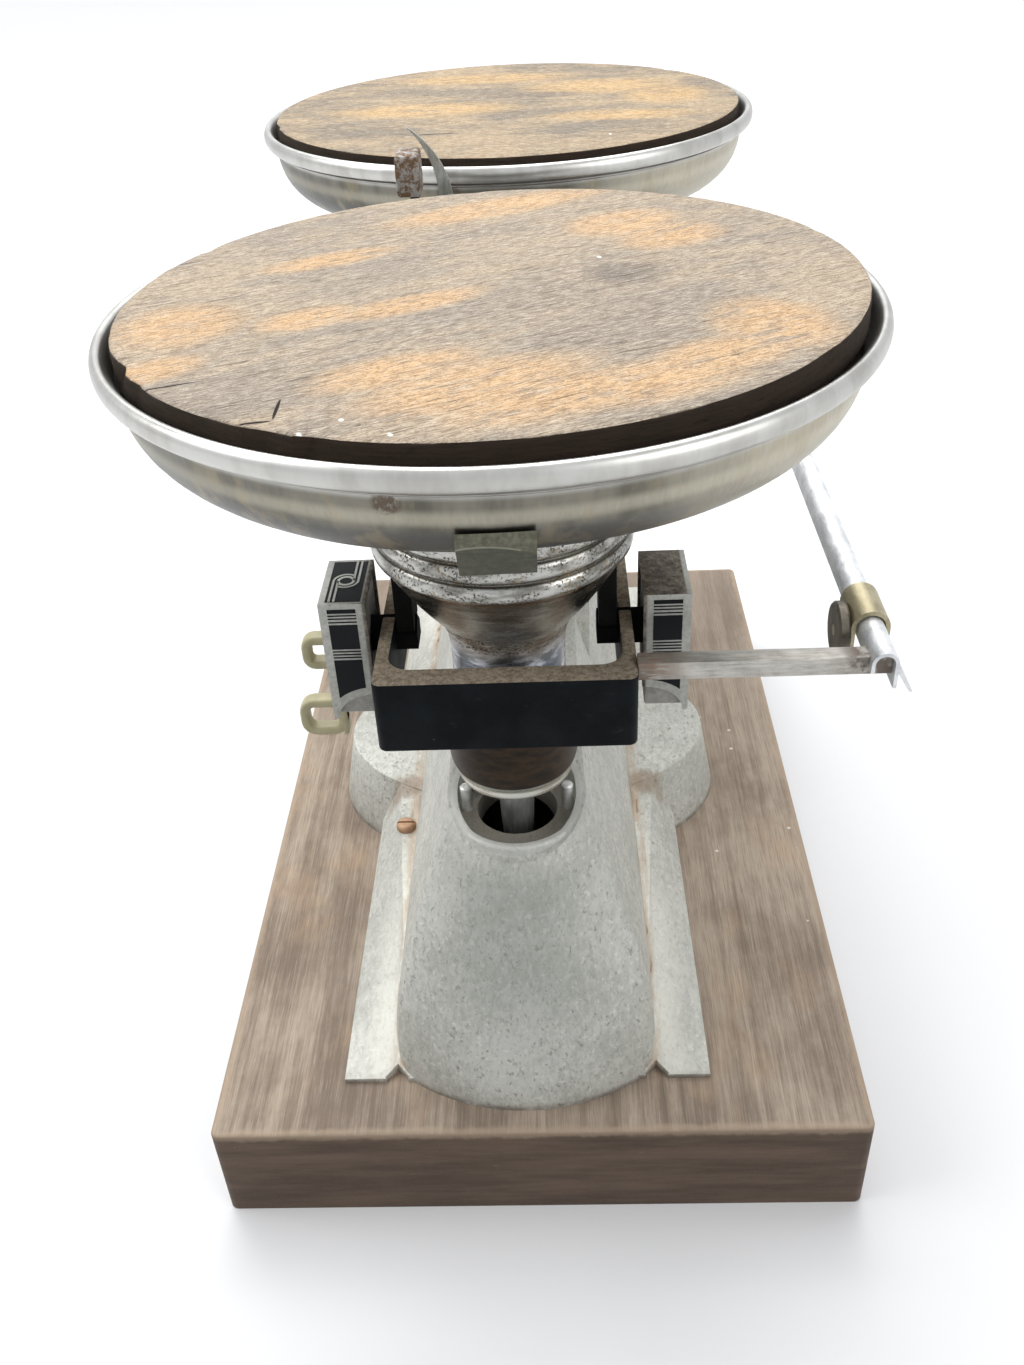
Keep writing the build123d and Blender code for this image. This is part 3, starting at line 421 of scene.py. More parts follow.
def hammeredPaint():
    # grey paint with a fine mottle, tan lines along the ledges, painted light on the ledge tops, and painted
    # shade and shadow in brown pockets, on the nose and at the foot
    finish = Finish("hammered_paint")
    side, far, z = abs(finish.axis("X")), abs(finish.axis("Y")), finish.axis("Z")
    rise = z - levels["boardTop"]
    fine = finish.noise((0.8, 1.5, 1.5), detail=3.0, rough=0.6)
    mottle = finish.noise((1.5, 3.2, 3.0), detail=4.0, rough=0.7, seed=14.0)
    cloud = finish.noise(22.0, detail=3.0, seed=31.0)
    tone = mottle * 0.55 + cloud * 0.45
    grey = finish.mix((0.44, 0.445, 0.40), (0.60, 0.60, 0.55), tone.fade(0.38, 0.62))
    # painted light: the level ledge tops are made paler, with some dust, where the dish shades them
    level = finish.up().fade(0.5, 0.9) * (1 - z.fade(*casting["ledgeTop"])) * side.fade(33.0, 34.5)
    pale = 0.75 - side.fade(*casting["ledgeSide"]) * far.fade(*casting["ledgeAlong"]) * 0.6
    grey = finish.mix(grey, (0.80, 0.785, 0.71), level * (pale - fine.fade(0.45, 0.7) * 0.2))
    grey = finish.mix(grey, (0.29, 0.285, 0.245), fine.fade(0.54, 0.68) * (0.5 - level * 0.44))
    light = finish.noise(1.3, detail=3.0, seed=8.0).fade(0.56, 0.68)
    grey = finish.mix(grey, (0.84, 0.84, 0.79), light * 0.35)
    dots = finish.noise((1.5, 1.9, 1.9), detail=2.0, seed=3.0).fade(0.60, 0.72) * cloud.fade(0.36, 0.55)
    grey = finish.mix(grey, (0.16, 0.145, 0.12), dots * (0.50 - level * 0.46))
    # painted shade: the nose's front darkens in its upper middle
    shaded = (1 - side.fade(*casting["noseSide"])) * z.within(*casting["noseLevels"])
    grey = finish.mix(grey, (0.25, 0.26, 0.23), shaded * 0.35)
    along = far / casting["ledgeEnd"]
    ledgeTop = casting["ledgeRise"] * (1 - along * along * along)
    low = 1 - (rise - ledgeTop).fade(1.5, 5.0)
    seam = 1 - abs(side - casting["seam"]).fade(0.5, 3.2)
    streak = finish.noise((2.0, 15.0, 5.0), detail=6.0, seed=21.0)
    tan = seam * low * streak.fade(0.36, 0.56)
    colour = finish.mix(grey, (0.47, 0.37, 0.27), tan * 0.75)
    rust = seam * low * streak.fade(0.60, 0.68)
    # painted shadow: brown pockets beside the drum under the beam, mixed in with the rust
    for px, py, width, length in casting["shadowPockets"]:
        for across in (-1, 1):
            for end in (-1, 1):
                pocketShadow = finish.spot(across * px, end * py, width, length, ragged=streak)
                rust = rust.higher(pocketShadow * low * 0.75)
    colour = finish.mix(colour, (0.26, 0.165, 0.095), rust * 0.8)
    beyond = far - levels["panReach"]
    fromStem = (side * side + beyond * beyond).root()
    inWell = 1 - fromStem.fade(casting["lipInner"] - 0.5, casting["lipInner"])
    colour = finish.mix(colour, (0.17, 0.145, 0.11), inWell * 0.8)
    lip = (1 - inWell) * (1 - fromStem.fade(casting["lipOuter"] - 1, casting["lipOuter"]))
    colour = finish.mix(colour, (0.66, 0.66, 0.62), lip * 0.7)
    # painted shadow: darker along the foot where it meets the board, in patches
    footShadow = (1 - rise.fade(0.3, 2.0)) * finish.noise(6.0, seed=8.0).fade(0.3, 0.6)
    colour = finish.mix(colour, (0.16, 0.13, 0.10), footShadow * 0.7)
    finish.shape(
        Base_Color=colour, Metallic=0.2 - rust * 0.2, Roughness=0.44 + fine * 0.22 + rust * 0.3,
        Normal=finish.bump(fine * 0.35 + mottle * 0.9 - dots * 0.5, 0.20),
    )
    return finish.material


def plainMetal(
    name, low, high, metallic=0.9, roughness=0.35, rust=0.0, grain=(1.5, 1.5, 1.5), depth=0.05, gloss=0.5,
):
    # worn steel, brass or aluminium: two tones, fine marks and some rust
    finish = Finish(name)
    marks = finish.noise(grain, detail=7.0, rough=0.7)
    cloud = finish.noise(7.0, detail=4.0, seed=12.0)
    colour = finish.mix(low, high, (marks * 0.5 + cloud * 0.5).fade(0.36, 0.62))
    spots = finish.noise(2.4, detail=6.0, rough=0.7, seed=33.0)
    spots = spots.fade(0.68 - rust * 0.25, 0.74 - rust * 0.2)
    colour = finish.mix(colour, (0.16, 0.09, 0.045), spots * min(1.0, rust + 0.15))
    finish.shape(
        Base_Color=colour, Metallic=metallic - spots * metallic * 0.7, Specular_IOR_Level=gloss,
        Roughness=roughness + marks * 0.22 + spots * 0.25, Normal=finish.bump(marks - spots * 0.6, depth),
    )
    return finish.material


def beamBlack():
    # black paint, rubbed to brown on the upward faces
    finish = Finish("black_beam")
    level = finish.up().fade(0.35, 0.75)
    speck = finish.noise(0.9, detail=6.0, rough=0.75)
    cloud = finish.noise(13.0, detail=5.0, seed=9.0)
    black = finish.mix((0.003, 0.004, 0.0048), (0.010, 0.0125, 0.0145), cloud.fade(0.3, 0.7))
    dust = finish.noise((5.0, 2.0, 2.5), detail=6.0, seed=31.0).fade(0.60, 0.76)
    black = finish.mix(black, (0.07, 0.068, 0.062), dust * 0.25)
    brown = finish.mix((0.20, 0.16, 0.12), (0.44, 0.375, 0.285), speck.fade(0.35, 0.65))
    colour = finish.mix(black, brown, level)
    chips = finish.pits(3.2, 0.05, seed=4.0) * finish.noise(11.0, seed=44.0).fade(0.5, 0.6)
    colour = finish.mix(colour, (0.30, 0.30, 0.30), chips * 0.8)
    finish.shape(
        Base_Color=colour, Roughness=0.55 + level * 0.25, Specular_IOR_Level=0.07,
        Normal=finish.bump(speck * 0.6 + cloud * 0.4, 0.12),
    )
    return finish.material


chrome = {
    # heights in mm where each zone of the column begins and ends
    "rings": (176.0, 177.6), "pitted": (153.0, 156.5, 160.0, 165.0), "neck": (150.0, 157.0),
    "rim": (117.2, 118.0), "stained": (117.2, 118.0, 134.0, 140.0), "line": (175.8, 176.4, 177.0, 177.6),
    # the first ring's foot, and the groove, darkened as painted shade, as a share of the way from ring to
    # ring
    "ringFloor": 177.3, "ringPitch": 4.55, "groove": (0.80, 0.86, 0.90, 0.97),
}


def pittedChrome():
    # bright speckled rings with painted shade in their grooves, a flare and neck whose dark tone and bluish
    # highlights are painted reflection, a rusty band, brown foot with a bright rim
    finish = Finish("pitted_chrome")
    z = finish.axis("Z")
    ringed = z.fade(*chrome["rings"])
    banded = z.within(*chrome["pitted"])
    stained = z.within(*chrome["stained"])
    rim = 1 - z.fade(*chrome["rim"])
    haze = finish.noise((6.0, 6.0, 2.0), detail=5.0, seed=20.0)
    smear = finish.noise((7.0, 7.0, 0.8), detail=4.0, seed=28.0)
    # painted reflection: the flare's colour is kept dark, for the dark surroundings it mirrors
    body = finish.mix((0.14, 0.128, 0.11), (0.33, 0.305, 0.27), (haze * 0.5 + smear * 0.5).fade(0.36, 0.64))
    # painted reflection: bluish highlights on a dark neck
    neck = finish.mix((0.08, 0.088, 0.10), (0.42, 0.44, 0.48), haze.fade(0.42, 0.66))
    body = finish.mix(neck, body, z.fade(*chrome["neck"]))
    ring = finish.mix((0.18, 0.176, 0.155), (0.46, 0.457, 0.43), haze.fade(0.34, 0.64))
    # painted shade in the grooves between the rings
    between = ((z - chrome["ringFloor"]) / chrome["ringPitch"]).fraction()
    groove = between.within(*chrome["groove"]) * ringed
    ring = finish.mix(ring, (0.05, 0.045, 0.035), groove)
    body = finish.mix(body, ring, ringed)
    brown = finish.mix((0.012, 0.008, 0.005), (0.045, 0.028, 0.015), haze.fade(0.3, 0.7))
    body = finish.mix(body, brown, stained)
    body = finish.mix(body, (0.55, 0.55, 0.50), rim)
    body = finish.mix(body, (0.17, 0.095, 0.045), z.within(*chrome["line"]) * 0.8)
    specks = finish.noise(0.5, detail=3.0, rough=0.7, seed=6.0)
    patches = finish.noise((8.0, 8.0, 3.0), detail=3.0, seed=77.0)
    amount = (ringed * 0.8 + banded * 0.9).lower(1.0) * patches.fade(0.30, 0.55)
    spoiled = (specks + amount * 0.18).fade(0.68, 0.73) * (amount + 0.1).lower(1.0)
    warm = finish.noise(5.0, seed=51.0).fade(0.50, 0.62) * ringed
    rust = finish.mix((0.055, 0.03, 0.014), (0.42, 0.27, 0.10), warm)
    finish.shape(
        Base_Color=finish.mix(body, rust, spoiled), Metallic=1 - (spoiled * 0.8).higher(stained * 0.7),
        Roughness=0.20 + haze * 0.14 + spoiled * 0.4 + stained * 0.15,
        Specular_IOR_Level=0.2, Normal=finish.bump(haze * 0.2 - spoiled, 0.10),
    )
    return finish.material


dishStain = {
    # the brown blot on the front: across, from the pan's middle, above the floor, half its width
    "x": -13.8, "front": -64.0, "level": 14.3, "width": 2.2, "blotTop": (15.8, 16.4),
    # the wall: its levels above the floor, its line of painted highlight, its left in painted shade, its
    # right in painted light, and dark foot
    "wall": (-1.0, 0.5, 14.6, 16.4), "shine": 11.6, "dull": (-60.0, -15.0), "polished": (18.0, 52.0),
    "dark": (1.6, 3.6, 7.4, 10.2),
    # levels of the crease under the wall, darkened by dirt, and of the groove under the rim, darkened as
    # painted shade
    "crease": 0.9, "groove": 16.75,
}


def dishMetal(name, y):
    # spun aluminium: brushed, stained wall, painted highlight line, painted shade left and light right, dirt
    # in the crease, painted shade under the rim
    finish = Finish(name)
    x, along = finish.axis("X"), finish.axis("Y")
    z = finish.axis("Z") - levels["dishFloor"]
    brush = finish.noise((0.7, 0.7, 9.0), detail=4.0, rough=0.65)
    cloud = finish.noise((9.0, 9.0, 26.0), detail=4.0, seed=24.0)
    bright = finish.mix((0.42, 0.41, 0.385), (0.52, 0.515, 0.49), cloud.fade(0.35, 0.62))
    wall = finish.mix((0.115, 0.110, 0.090), (0.205, 0.195, 0.162), cloud.fade(0.34, 0.62))
    # painted highlight: a bright line along the wall
    shine = (1 - abs(z - dishStain["shine"]).fade(0.3, 2.2)) * (0.45 + brush * 0.7)
    wall = finish.mix(wall, (0.40, 0.375, 0.30), shine * 0.85)
    wall = finish.mix(wall, (0.085, 0.086, 0.085), z.within(*dishStain["dark"]) * 0.8)
    # painted shade on the wall's left, painted light on its right
    wall = finish.mix(wall, (0.12, 0.12, 0.11), (1 - x.fade(*dishStain["dull"])) * 0.45)
    wall = finish.mix(wall, (0.56, 0.52, 0.42), x.fade(*dishStain["polished"]) * (0.35 + brush * 0.6))
    onWall = z.within(*dishStain["wall"])
    metal = finish.mix(bright, wall, onWall)
    yellow = finish.noise((6.0, 6.0, 9.0), detail=5.0, seed=36.0).fade(0.50, 0.68)
    metal = finish.mix(metal, (0.36, 0.30, 0.19), onWall * yellow * 0.35)
    crease = (1 - abs(z - dishStain["crease"]).fade(0.3, 1.3)) * finish.noise(3.0, seed=18.0).fade(0.25, 0.5)
    # painted shade: the groove under the rim is darkened
    crease = crease.higher((1 - abs(z - dishStain["groove"]).fade(0.15, 0.6)) * 0.85)
    metal = finish.mix(metal, (0.055, 0.04, 0.028), crease * 0.9)
    spots = finish.noise(3.6, detail=7.0, rough=0.75, seed=60.0).fade(0.74, 0.77)
    sideways = x - dishStain["x"]
    upward = (z - dishStain["level"]) * 1.3
    away = (sideways * sideways + upward * upward) / dishStain["width"] ** 2 + brush
    front = y + dishStain["front"]
    crumbs = finish.noise(0.9, detail=4.0, rough=0.7, seed=71.0).fade(0.42, 0.52)
    blot = (1 - away.fade(0.9, 2.2)) * crumbs
    blot = blot * (1 - along.fade(front, front + 10.0)) * (1 - z.fade(*dishStain["blotTop"]))
    stains = (spots * onWall).higher(blot)
    metal = finish.mix(metal, (0.13, 0.085, 0.05), stains * 0.85)
    finish.shape(
        Base_Color=metal, Metallic=1 - (crease * 0.5).higher(stains * 0.8),
        Roughness=0.34 + onWall * (brush * 0.14) + crease * 0.3,
        Normal=finish.bump(brush * onWall * 0.3 - stains * 2.0 - crease, 0.04),
    )
    return finish.material


discWoods = {
    # patches, dull places and stains: x and y from the pan's middle, width and length, in mm
    "near": {
        "turn": 0.42, "pale": (0.47, 0.38, 0.28), "orange": (0.68, 0.44, 0.235), "grey": (0.335, 0.29, 0.24),
        "patches": [
            (-33.7, 22.4, 17, 6), (-33.2, -13.9, 12, 7), (-14.6, -8.8, 18, 6), (-14.3, -42, 18, 8),
            (0, -50, 24, 12), (14, -56, 24, 10), (28, -52, 20, 10), (37.5, 26.2, 14, 10),
            (50.3, -28.8, 12, 16), (-58, -36, 12, 7), (-57.5, -14, 15, 14), (0.6, 56.5, 32, 9),
            (40, -42.5, 16, 9), (28, 38, 15, 11),
        ],
        "dull": [
            (-23, 6, 26, 6), (7, -10, 26, 12), (21, -28, 24, 12), (-36.5, -50, 22, 9), (31, -18, 24, 16),
            (-44, -45, 20, 8),
        ],
        "stain": [(27.4, 3, 11, 9)],
        # middle, width, length and turn of each crack; middles of the pale specks
        "cracks": [(-31.7, -55.8, 0.35, 4.3, 0.0), (-34.3, -60.7, 2.9, 0.4, 0.23), (-52, -44, 6, 0.35, 0.3)],
        "specks": [(-12.5, -68), (-20.7, -61.4), (-26.5, -66.1), (22, 14)],
    },
    "far": {
        "turn": -0.05, "pale": (0.46, 0.355, 0.235), "orange": (0.64, 0.43, 0.21), "grey": (0.24, 0.21, 0.17),
        "patches": [(-25, -5, 34, 13), (30, 22, 30, 15), (34, -24, 26, 9), (-8, 44, 36, 11), (50, 4, 16, 18)],
        "dull": [(-12, 22, 34, 7), (4, -14, 30, 7), (18, 40, 26, 6), (-40, -34, 22, 8)],
        "stain": [(8, 12, 22, 6)],
        "cracks": [(-20, -40, 9, 0.4, 0.0)],
        "specks": [(30, -50)],
    },
}


def discWood(end):
    # dry, greyed board with fine grain, orange where the surface is fresh
    wood = discWoods[end]
    y = ends[end] * levels["panReach"]
    finish = Finish(end + "_disc_wood")
    turn = wood["turn"]
    ragged = finish.noise((11.0, 4.0, 9.0), detail=5.0, rough=0.65, seed=13.0, turn=turn)
    fibre = finish.noise((2.4, 0.30, 0.30), detail=3.0, rough=0.7, seed=29.0, turn=turn)
    ridge = finish.noise((12.0, 0.8, 0.8), detail=5.0, rough=0.65, seed=2.0, turn=turn, wave=0.2)
    cloud = finish.noise((30.0, 15.0, 20.0), detail=5.0, seed=5.0, turn=turn)
    colour = finish.mix(wood["grey"], wood["pale"], (cloud * 0.6 + ragged * 0.4).fade(0.37, 0.60))
    masks = {}
    for kind in ("patches", "dull", "stain"):
        for px, py, width, length in wood[kind]:
            patch = finish.spot(px, py + y, width, length, turn, ragged)
            masks[kind] = masks[kind].higher(patch) if kind in masks else patch
    colour = finish.mix(colour, wood["grey"], masks["dull"] * 0.75)
    colour = finish.mix(colour, wood["orange"], masks["patches"] * ragged.fade(0.22, 0.58) * 0.9)
    colour = finish.mix(colour, (0.20, 0.175, 0.15), masks["stain"] * 0.72)
    streaks = ridge.fade(0.60, 0.73)
    colour = finish.mix(colour, (0.16, 0.12, 0.09), streaks * 0.45)
    colour = finish.mix(colour, (0.13, 0.095, 0.07), fibre.fade(0.50, 0.60) * 0.55)
    colour = finish.mix(colour, (0.76, 0.68, 0.56), (1 - fibre.fade(0.36, 0.46)) * 0.5)
    grit = finish.noise(0.45, detail=2.0, seed=47.0)
    colour = finish.mix(colour, (0.12, 0.10, 0.085), grit.fade(0.54, 0.62) * 0.4)
    for px, py, width, length, lean in wood["cracks"]:
        crack = finish.spot(px, py + y, width, length, lean)
        colour = finish.mix(colour, (0.02, 0.014, 0.01), crack.fade(0.1, 0.6))
    for px, py in wood["specks"]:
        speck = finish.spot(px, py + y, 0.5, 0.9, turn)
        colour = finish.mix(colour, (0.85, 0.84, 0.80), speck)
    layers = finish.noise((7.0, 7.0, 0.7), seed=3.0)
    # nearly black upright edge: its end grain, deepened by painted shade
    edge = finish.mix((0.010, 0.008, 0.006), (0.055, 0.036, 0.024), layers)
    colour = finish.mix(edge, colour, (finish.up() + ragged * 0.3).fade(0.75, 0.95))
    finish.shape(
        Base_Color=colour, Roughness=0.82 - streaks * 0.05, Specular_IOR_Level=0.18,
        Normal=finish.bump(ragged * 0.4 - streaks * 0.8 - fibre * 0.8, 0.30),
    )
    return finish.material


# from the middle outwards in mm: the end of the inner sides, and the worn part of the right tops
coverWear = {"inner": (30.8, 31.4), "rightTop": (30.5, 30.6, 39.4, 40.0)}


def enamelSilver():
    # silver plate of the covers, its inner side and the worn right top brown
    finish = Finish("enamelled_cover")
    x = finish.axis("X")
    inward = 1 - abs(x).fade(*coverWear["inner"])
    speck = finish.noise(1.0, detail=5.0, rough=0.7)
    silver = finish.mix((0.36, 0.36, 0.33), (0.50, 0.50, 0.46), speck.fade(0.3, 0.7))
    edge = finish.noise(2.0, seed=23.0).fade(0.62, 0.72)
    silver = finish.mix(silver, (0.17, 0.155, 0.13), edge * 0.45)
    flaking = finish.noise(1.6, rough=0.75, seed=19.0).fade(0.3, 0.75)
    bare = finish.mix((0.07, 0.058, 0.044), (0.33, 0.29, 0.235), flaking)
    worn = (finish.up().fade(0.5, 0.9) * x.within(*coverWear["rightTop"])).higher(inward)
    finish.shape(
        Base_Color=finish.mix(silver, bare, worn), Metallic=0.35, Roughness=0.38 + worn * 0.3 + speck * 0.1,
        Normal=finish.bump(speck, 0.06),
    )
    return finish.material


def creamPlastic():
    # yellowed cream plastic with dull green scratches
    finish = Finish("cream_plastic")
    cloud = finish.noise(5.0, detail=5.0)
    scratch = finish.noise((2.0, 0.6, 2.0), seed=9.0)
    colour = finish.mix((0.44, 0.40, 0.235), (0.57, 0.525, 0.325), cloud.fade(0.3, 0.7))
    colour = finish.mix(colour, (0.30, 0.27, 0.16), scratch.fade(0.62, 0.8) * 0.4)
    finish.shape(
        Base_Color=colour, Roughness=0.38 + cloud * 0.12, Normal=finish.bump(cloud + scratch * 0.3, 0.06),
    )
    return finish.material


def trimBlack():
    # black enamel of the cover trim, gone dull
    finish = Finish("trim_black")
    cloud = finish.noise(3.0, detail=5.0)
    colour = finish.mix((0.004, 0.0055, 0.006), (0.014, 0.016, 0.018), cloud)
    finish.shape(
        Base_Color=colour, Roughness=0.42 + cloud * 0.15, Specular_IOR_Level=0.12,
        Normal=finish.bump(cloud, 0.03),
    )
    return finish.material


# half the tab's width, the level of the painted highlight line's ends, its rise in the middle and its fade,
# in mm
oliveTab = {"half": 6.4, "ends": 213.4, "crown": 1.5, "line": (0.14, 0.392)}


def oliveSteel():
    # olive lacquer, paler above from wear and painted light, with a painted highlight line that arches across
    # the front tab
    finish = Finish("olive_strip")
    marks = finish.noise(1.2, detail=5.0, rough=0.7)
    outward = finish.axis("X") / oliveTab["half"]
    over = finish.axis("Z") - oliveTab["ends"] - (1 - outward * outward) * oliveTab["crown"]
    low = finish.mix((0.055, 0.058, 0.040), (0.115, 0.118, 0.085), marks.fade(0.3, 0.7))
    high = finish.mix((0.09, 0.088, 0.058), (0.20, 0.195, 0.14), marks.fade(0.3, 0.7))
    # paler above the line from wear and painted light; the bright arched line is a painted highlight along
    # the tab's edge
    colour = finish.mix(low, high, over.fade(-0.1, 0.1))
    line = (1 - abs(over).fade(*oliveTab["line"])) * (1 - abs(outward).fade(0.96, 1.0))
    colour = finish.mix(colour, (0.36, 0.35, 0.27), line * 0.8)
    finish.shape(
        Base_Color=colour, Metallic=0.35, Roughness=0.45 + marks * 0.2, Normal=finish.bump(marks, 0.08),
    )
    return finish.material


# from the middle outwards in mm: where the coppery root fades out and the rusty tip sets in
barZones = {"root": (31.0, 41.0), "tip": (69.0, 75.0)}


def barSteel():
    # square bar: dull steel, coppery fibres at its root and brown rust near the rail
    finish = Finish("bar_steel")
    x = finish.axis("X")
    marks = finish.noise((6.0, 0.7, 0.7), detail=6.0, rough=0.7)
    cloud = finish.noise(5.0, detail=4.0, seed=12.0)
    colour = finish.mix((0.36, 0.34, 0.30), (0.60, 0.58, 0.54), (marks * 0.6 + cloud * 0.4).fade(0.36, 0.62))
    root = (1 - x.fade(*barZones["root"])) * marks.fade(0.40, 0.55)
    colour = finish.mix(colour, (0.30, 0.19, 0.125), root * 0.8)
    tip = x.fade(*barZones["tip"]) * cloud.fade(0.42, 0.56)
    colour = finish.mix(colour, (0.13, 0.085, 0.055), tip * 0.8)
    worn = root.higher(tip)
    finish.shape(
        Base_Color=colour, Metallic=0.7 - worn * 0.6, Roughness=0.42 + marks * 0.2 + worn * 0.2,
        Normal=finish.bump(marks - worn * 0.4, 0.12),
    )
    return finish.material


# plain metals: name, dark and light tone, how metallic, rough and rusty, grain and depth in mm
finishes = {
    "wood_board": boardWood(),
    "paint": hammeredPaint(),
    "beam": beamBlack(),
    "chrome": pittedChrome(),
    "cover": enamelSilver(),
    "cream": creamPlastic(),
    "trimBlack": trimBlack(),
    "trimSilver": plainMetal("trim_silver", (0.40, 0.40, 0.37), (0.53, 0.53, 0.49), 0.35, 0.34),
    # near-black steel of the knife edges and pan bearings
    "nearBlack": plainMetal("near_black_steel", (0.003, 0.003, 0.003), (0.010, 0.0095, 0.009), 0.0, 0.6, gloss=0.08),
    "screw": plainMetal("copper_screw", (0.33, 0.18, 0.105), (0.46, 0.30, 0.19), 0.6, 0.45, 0.3),
    "iron": plainMetal("black_iron", (0.018, 0.017, 0.016), (0.05, 0.045, 0.04), 0.3, 0.5, 0.2, depth=0.1),
    "dull": plainMetal("dull_steel", (0.28, 0.28, 0.28), (0.45, 0.45, 0.44), 0.9, 0.35, 0.1),
    "bearing": plainMetal("bearing_steel", (0.16, 0.155, 0.15), (0.30, 0.29, 0.28), 0.9, 0.3, 0.1),
    "grey": plainMetal("grey_metal", (0.25, 0.245, 0.225), (0.40, 0.39, 0.36), 0.4, 0.5, 0.25, depth=0.1),
    "bright": plainMetal(
        "bright_steel", (0.55, 0.55, 0.54), (0.72, 0.72, 0.71), 1.0, 0.14, 0.05, (0.6, 0.6, 6.0),
    ),
    "rail": plainMetal(
        "rail_metal", (0.58, 0.595, 0.61), (0.86, 0.875, 0.89), 0.6, 0.38, 0.08, (2.0, 5.0, 2.0), 0.3,
    ),
    "brass": plainMetal("brass", (0.31, 0.27, 0.165), (0.45, 0.40, 0.27), 0.85, 0.32, 0.05, (0.8, 3.0, 0.8)),
    "weight": plainMetal(
        "dark_weight", (0.075, 0.062, 0.048), (0.17, 0.15, 0.12), 0.7, 0.4, 0.15, depth=0.08,
    ),
    "pin": plainMetal("pin_metal", (0.55, 0.55, 0.53), (0.70, 0.70, 0.68), 0.9, 0.3),
    "bar": barSteel(),
    "pointer": plainMetal(
        "pointer_steel", (0.25, 0.252, 0.23), (0.46, 0.465, 0.43), 0.8, 0.3, 0.1, (0.8, 0.8, 5.0),
    ),
    "index": plainMetal("index_metal", (0.23, 0.21, 0.19), (0.42, 0.40, 0.37), 0.3, 0.5, 0.9, depth=0.15),
    "stem": plainMetal(
        "stem_aluminium", (0.40, 0.41, 0.40), (0.62, 0.63, 0.62), 0.9, 0.3, 0.1, (0.8, 0.8, 6.0),
    ),
    "olive": oliveSteel(),
}
print("finishes made:", len(finishes))

# nodes that stay as the CAD has them, and the finish of each
nodeFinishes = {
    "casting_screws": "screw", "bracket_screws": "dull", "main_bearings": "bearing", "check_link": "dull",
    "check_link_pin": "dull", "main_knife_edge": "bearing", "poise_rivet": "brass",
    "pointer": "pointer", "scale_rail": "rail", "poise_saddle": "brass", "poise_weight": "weight",
}
for end in ends:
    nodeFinishes.update({
        end + "_stop_pins": "pin", end + "_knife_edges": "nearBlack", end + "_pan_stem": "stem",
        end + "_stem_pin": "dull", end + "_pan_bearings": "nearBlack", end + "_spider_screw": "dull",
    })
for node, finish in nodeFinishes.items():
    dress(node, finishes[finish])

# nodes whose edges are worn round: body, finish and the width of the rounding in mm
wornNodes = {
    "base_casting": ("base", "paint", 0.9),
    "wood_board": ("base", "wood_board", 0.5),
    "bearing_bracket": ("base", "iron", 0.5),
    "index_post": ("base", "iron", 0.25),
    "index_block": ("base", "index", 0.9),
    "beam_frame": ("beam", "beam", 0.6),
    "pointer_clamp": ("beam", "bright", 0.4),
}
for end in ends:
    wornNodes[end + "_knife_brackets"] = ("beam", "grey", 0.5)
    wornNodes[end + "_scale_bar"] = ("beam", "bar", 0.35)
    wornNodes[end + "_spider"] = (end + "_pan_support", "olive", 0.55)
    for side in ("left", "right"):
        wornNodes[end + "_" + side + "_cover"] = ("beam", "cover", 0.35)
for node, (body, finish, width) in wornNodes.items():
    softened(node, body, finishes[finish], width)
print("nodes dressed:", len(nodeFinishes) + len(wornNodes))


dishShape = {
    "steps": 96, "rimRadius": 74.8, "rimHeight": 19.4, "rollWidth": 1.5, "rollHeight": 2.3, "smooth": 1,
    # radius and height above the dish's floor, from the middle outwards and back
    "outside": [
        (0, 0), (30, 0), (57, 0), (60.4, 0), (61.8, 0.8), (63, 1.1), (65, 1.9), (67, 3.1), (69.6, 5.6),
        (71.6, 8.9), (72.6, 12.7), (72.7, 15.4), (72.8, 15.9), (73.6, 16.1), (73.75, 16.5), (73.3, 16.8),
    ],
    "inside": [
        (72.9, 19.4), (72.5, 17.5), (71.7, 16.7), (71.5, 15.5), (71.4, 12.7), (70.6, 9.3), (68.6, 5.9),
        (65.6, 3.2), (62.6, 2.1), (60.4, 1.25), (57, 1.1), (30, 1.1), (0, 1.1),
    ],
}


def rimBead():
    # points round the rolled rim, from under it to its inner side
    points = []
    for degrees in range(-120, 170, 30):
        turn = math.radians(degrees)
        points.append((
            dishShape["rimRadius"] + dishShape["rollWidth"] * math.cos(turn),
            dishShape["rimHeight"] + dishShape["rollHeight"] * math.sin(turn),
        ))
    return points


def makeDish(end):
    y = ends[end] * levels["panReach"]
    outline = dishShape["outside"] + rimBead() + dishShape["inside"]
    bm = spun([(r, z + levels["dishFloor"]) for r, z in outline], y, dishShape["steps"])
    dish = newPiece(bm, end + "_dish_spun", end + "_pan", dishMetal(end + "_dish_metal", y), 80)
    subdivide(dish, dishShape["smooth"])
    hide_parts(end + "_dish")


discShape = {
    "radius": 71.9, "thickness": 6.0, "edge": 0.7, "segments": 160, "floor": 225.35,
    "tilt": {"near": 0.9, "far": 0.0}, "dice": {"near": 7, "far": 8}, "insets": (2.0, 20.0),
    # width of the uneven rim and its unevenness in mm; chips stay above a share of the thickness,
    # and a chip deeper than deepChip also sinks by a share of its depth
    "rimZone": 2.5, "uneven": 0.12, "chipFloor": 0.4, "deepChip": 0.4, "sink": 0.35,
    # angle in degrees, width in degrees and depth in mm of each chipped place
    "chips": {
        "near": [
            (207, 5, 1.6), (216, 3, 0.9), (243, 4, 1.2), (250, 2.5, 1.6), (265, 2, 0.6), (150, 2, 0.8),
            (322, 3, 0.5), (20, 2, 0.5), (95, 3, 0.5),
        ],
        "far": [(250, 4, 0.8), (195, 3, 1.0), (300, 3, 0.5), (40, 3, 0.7)],
    },
}


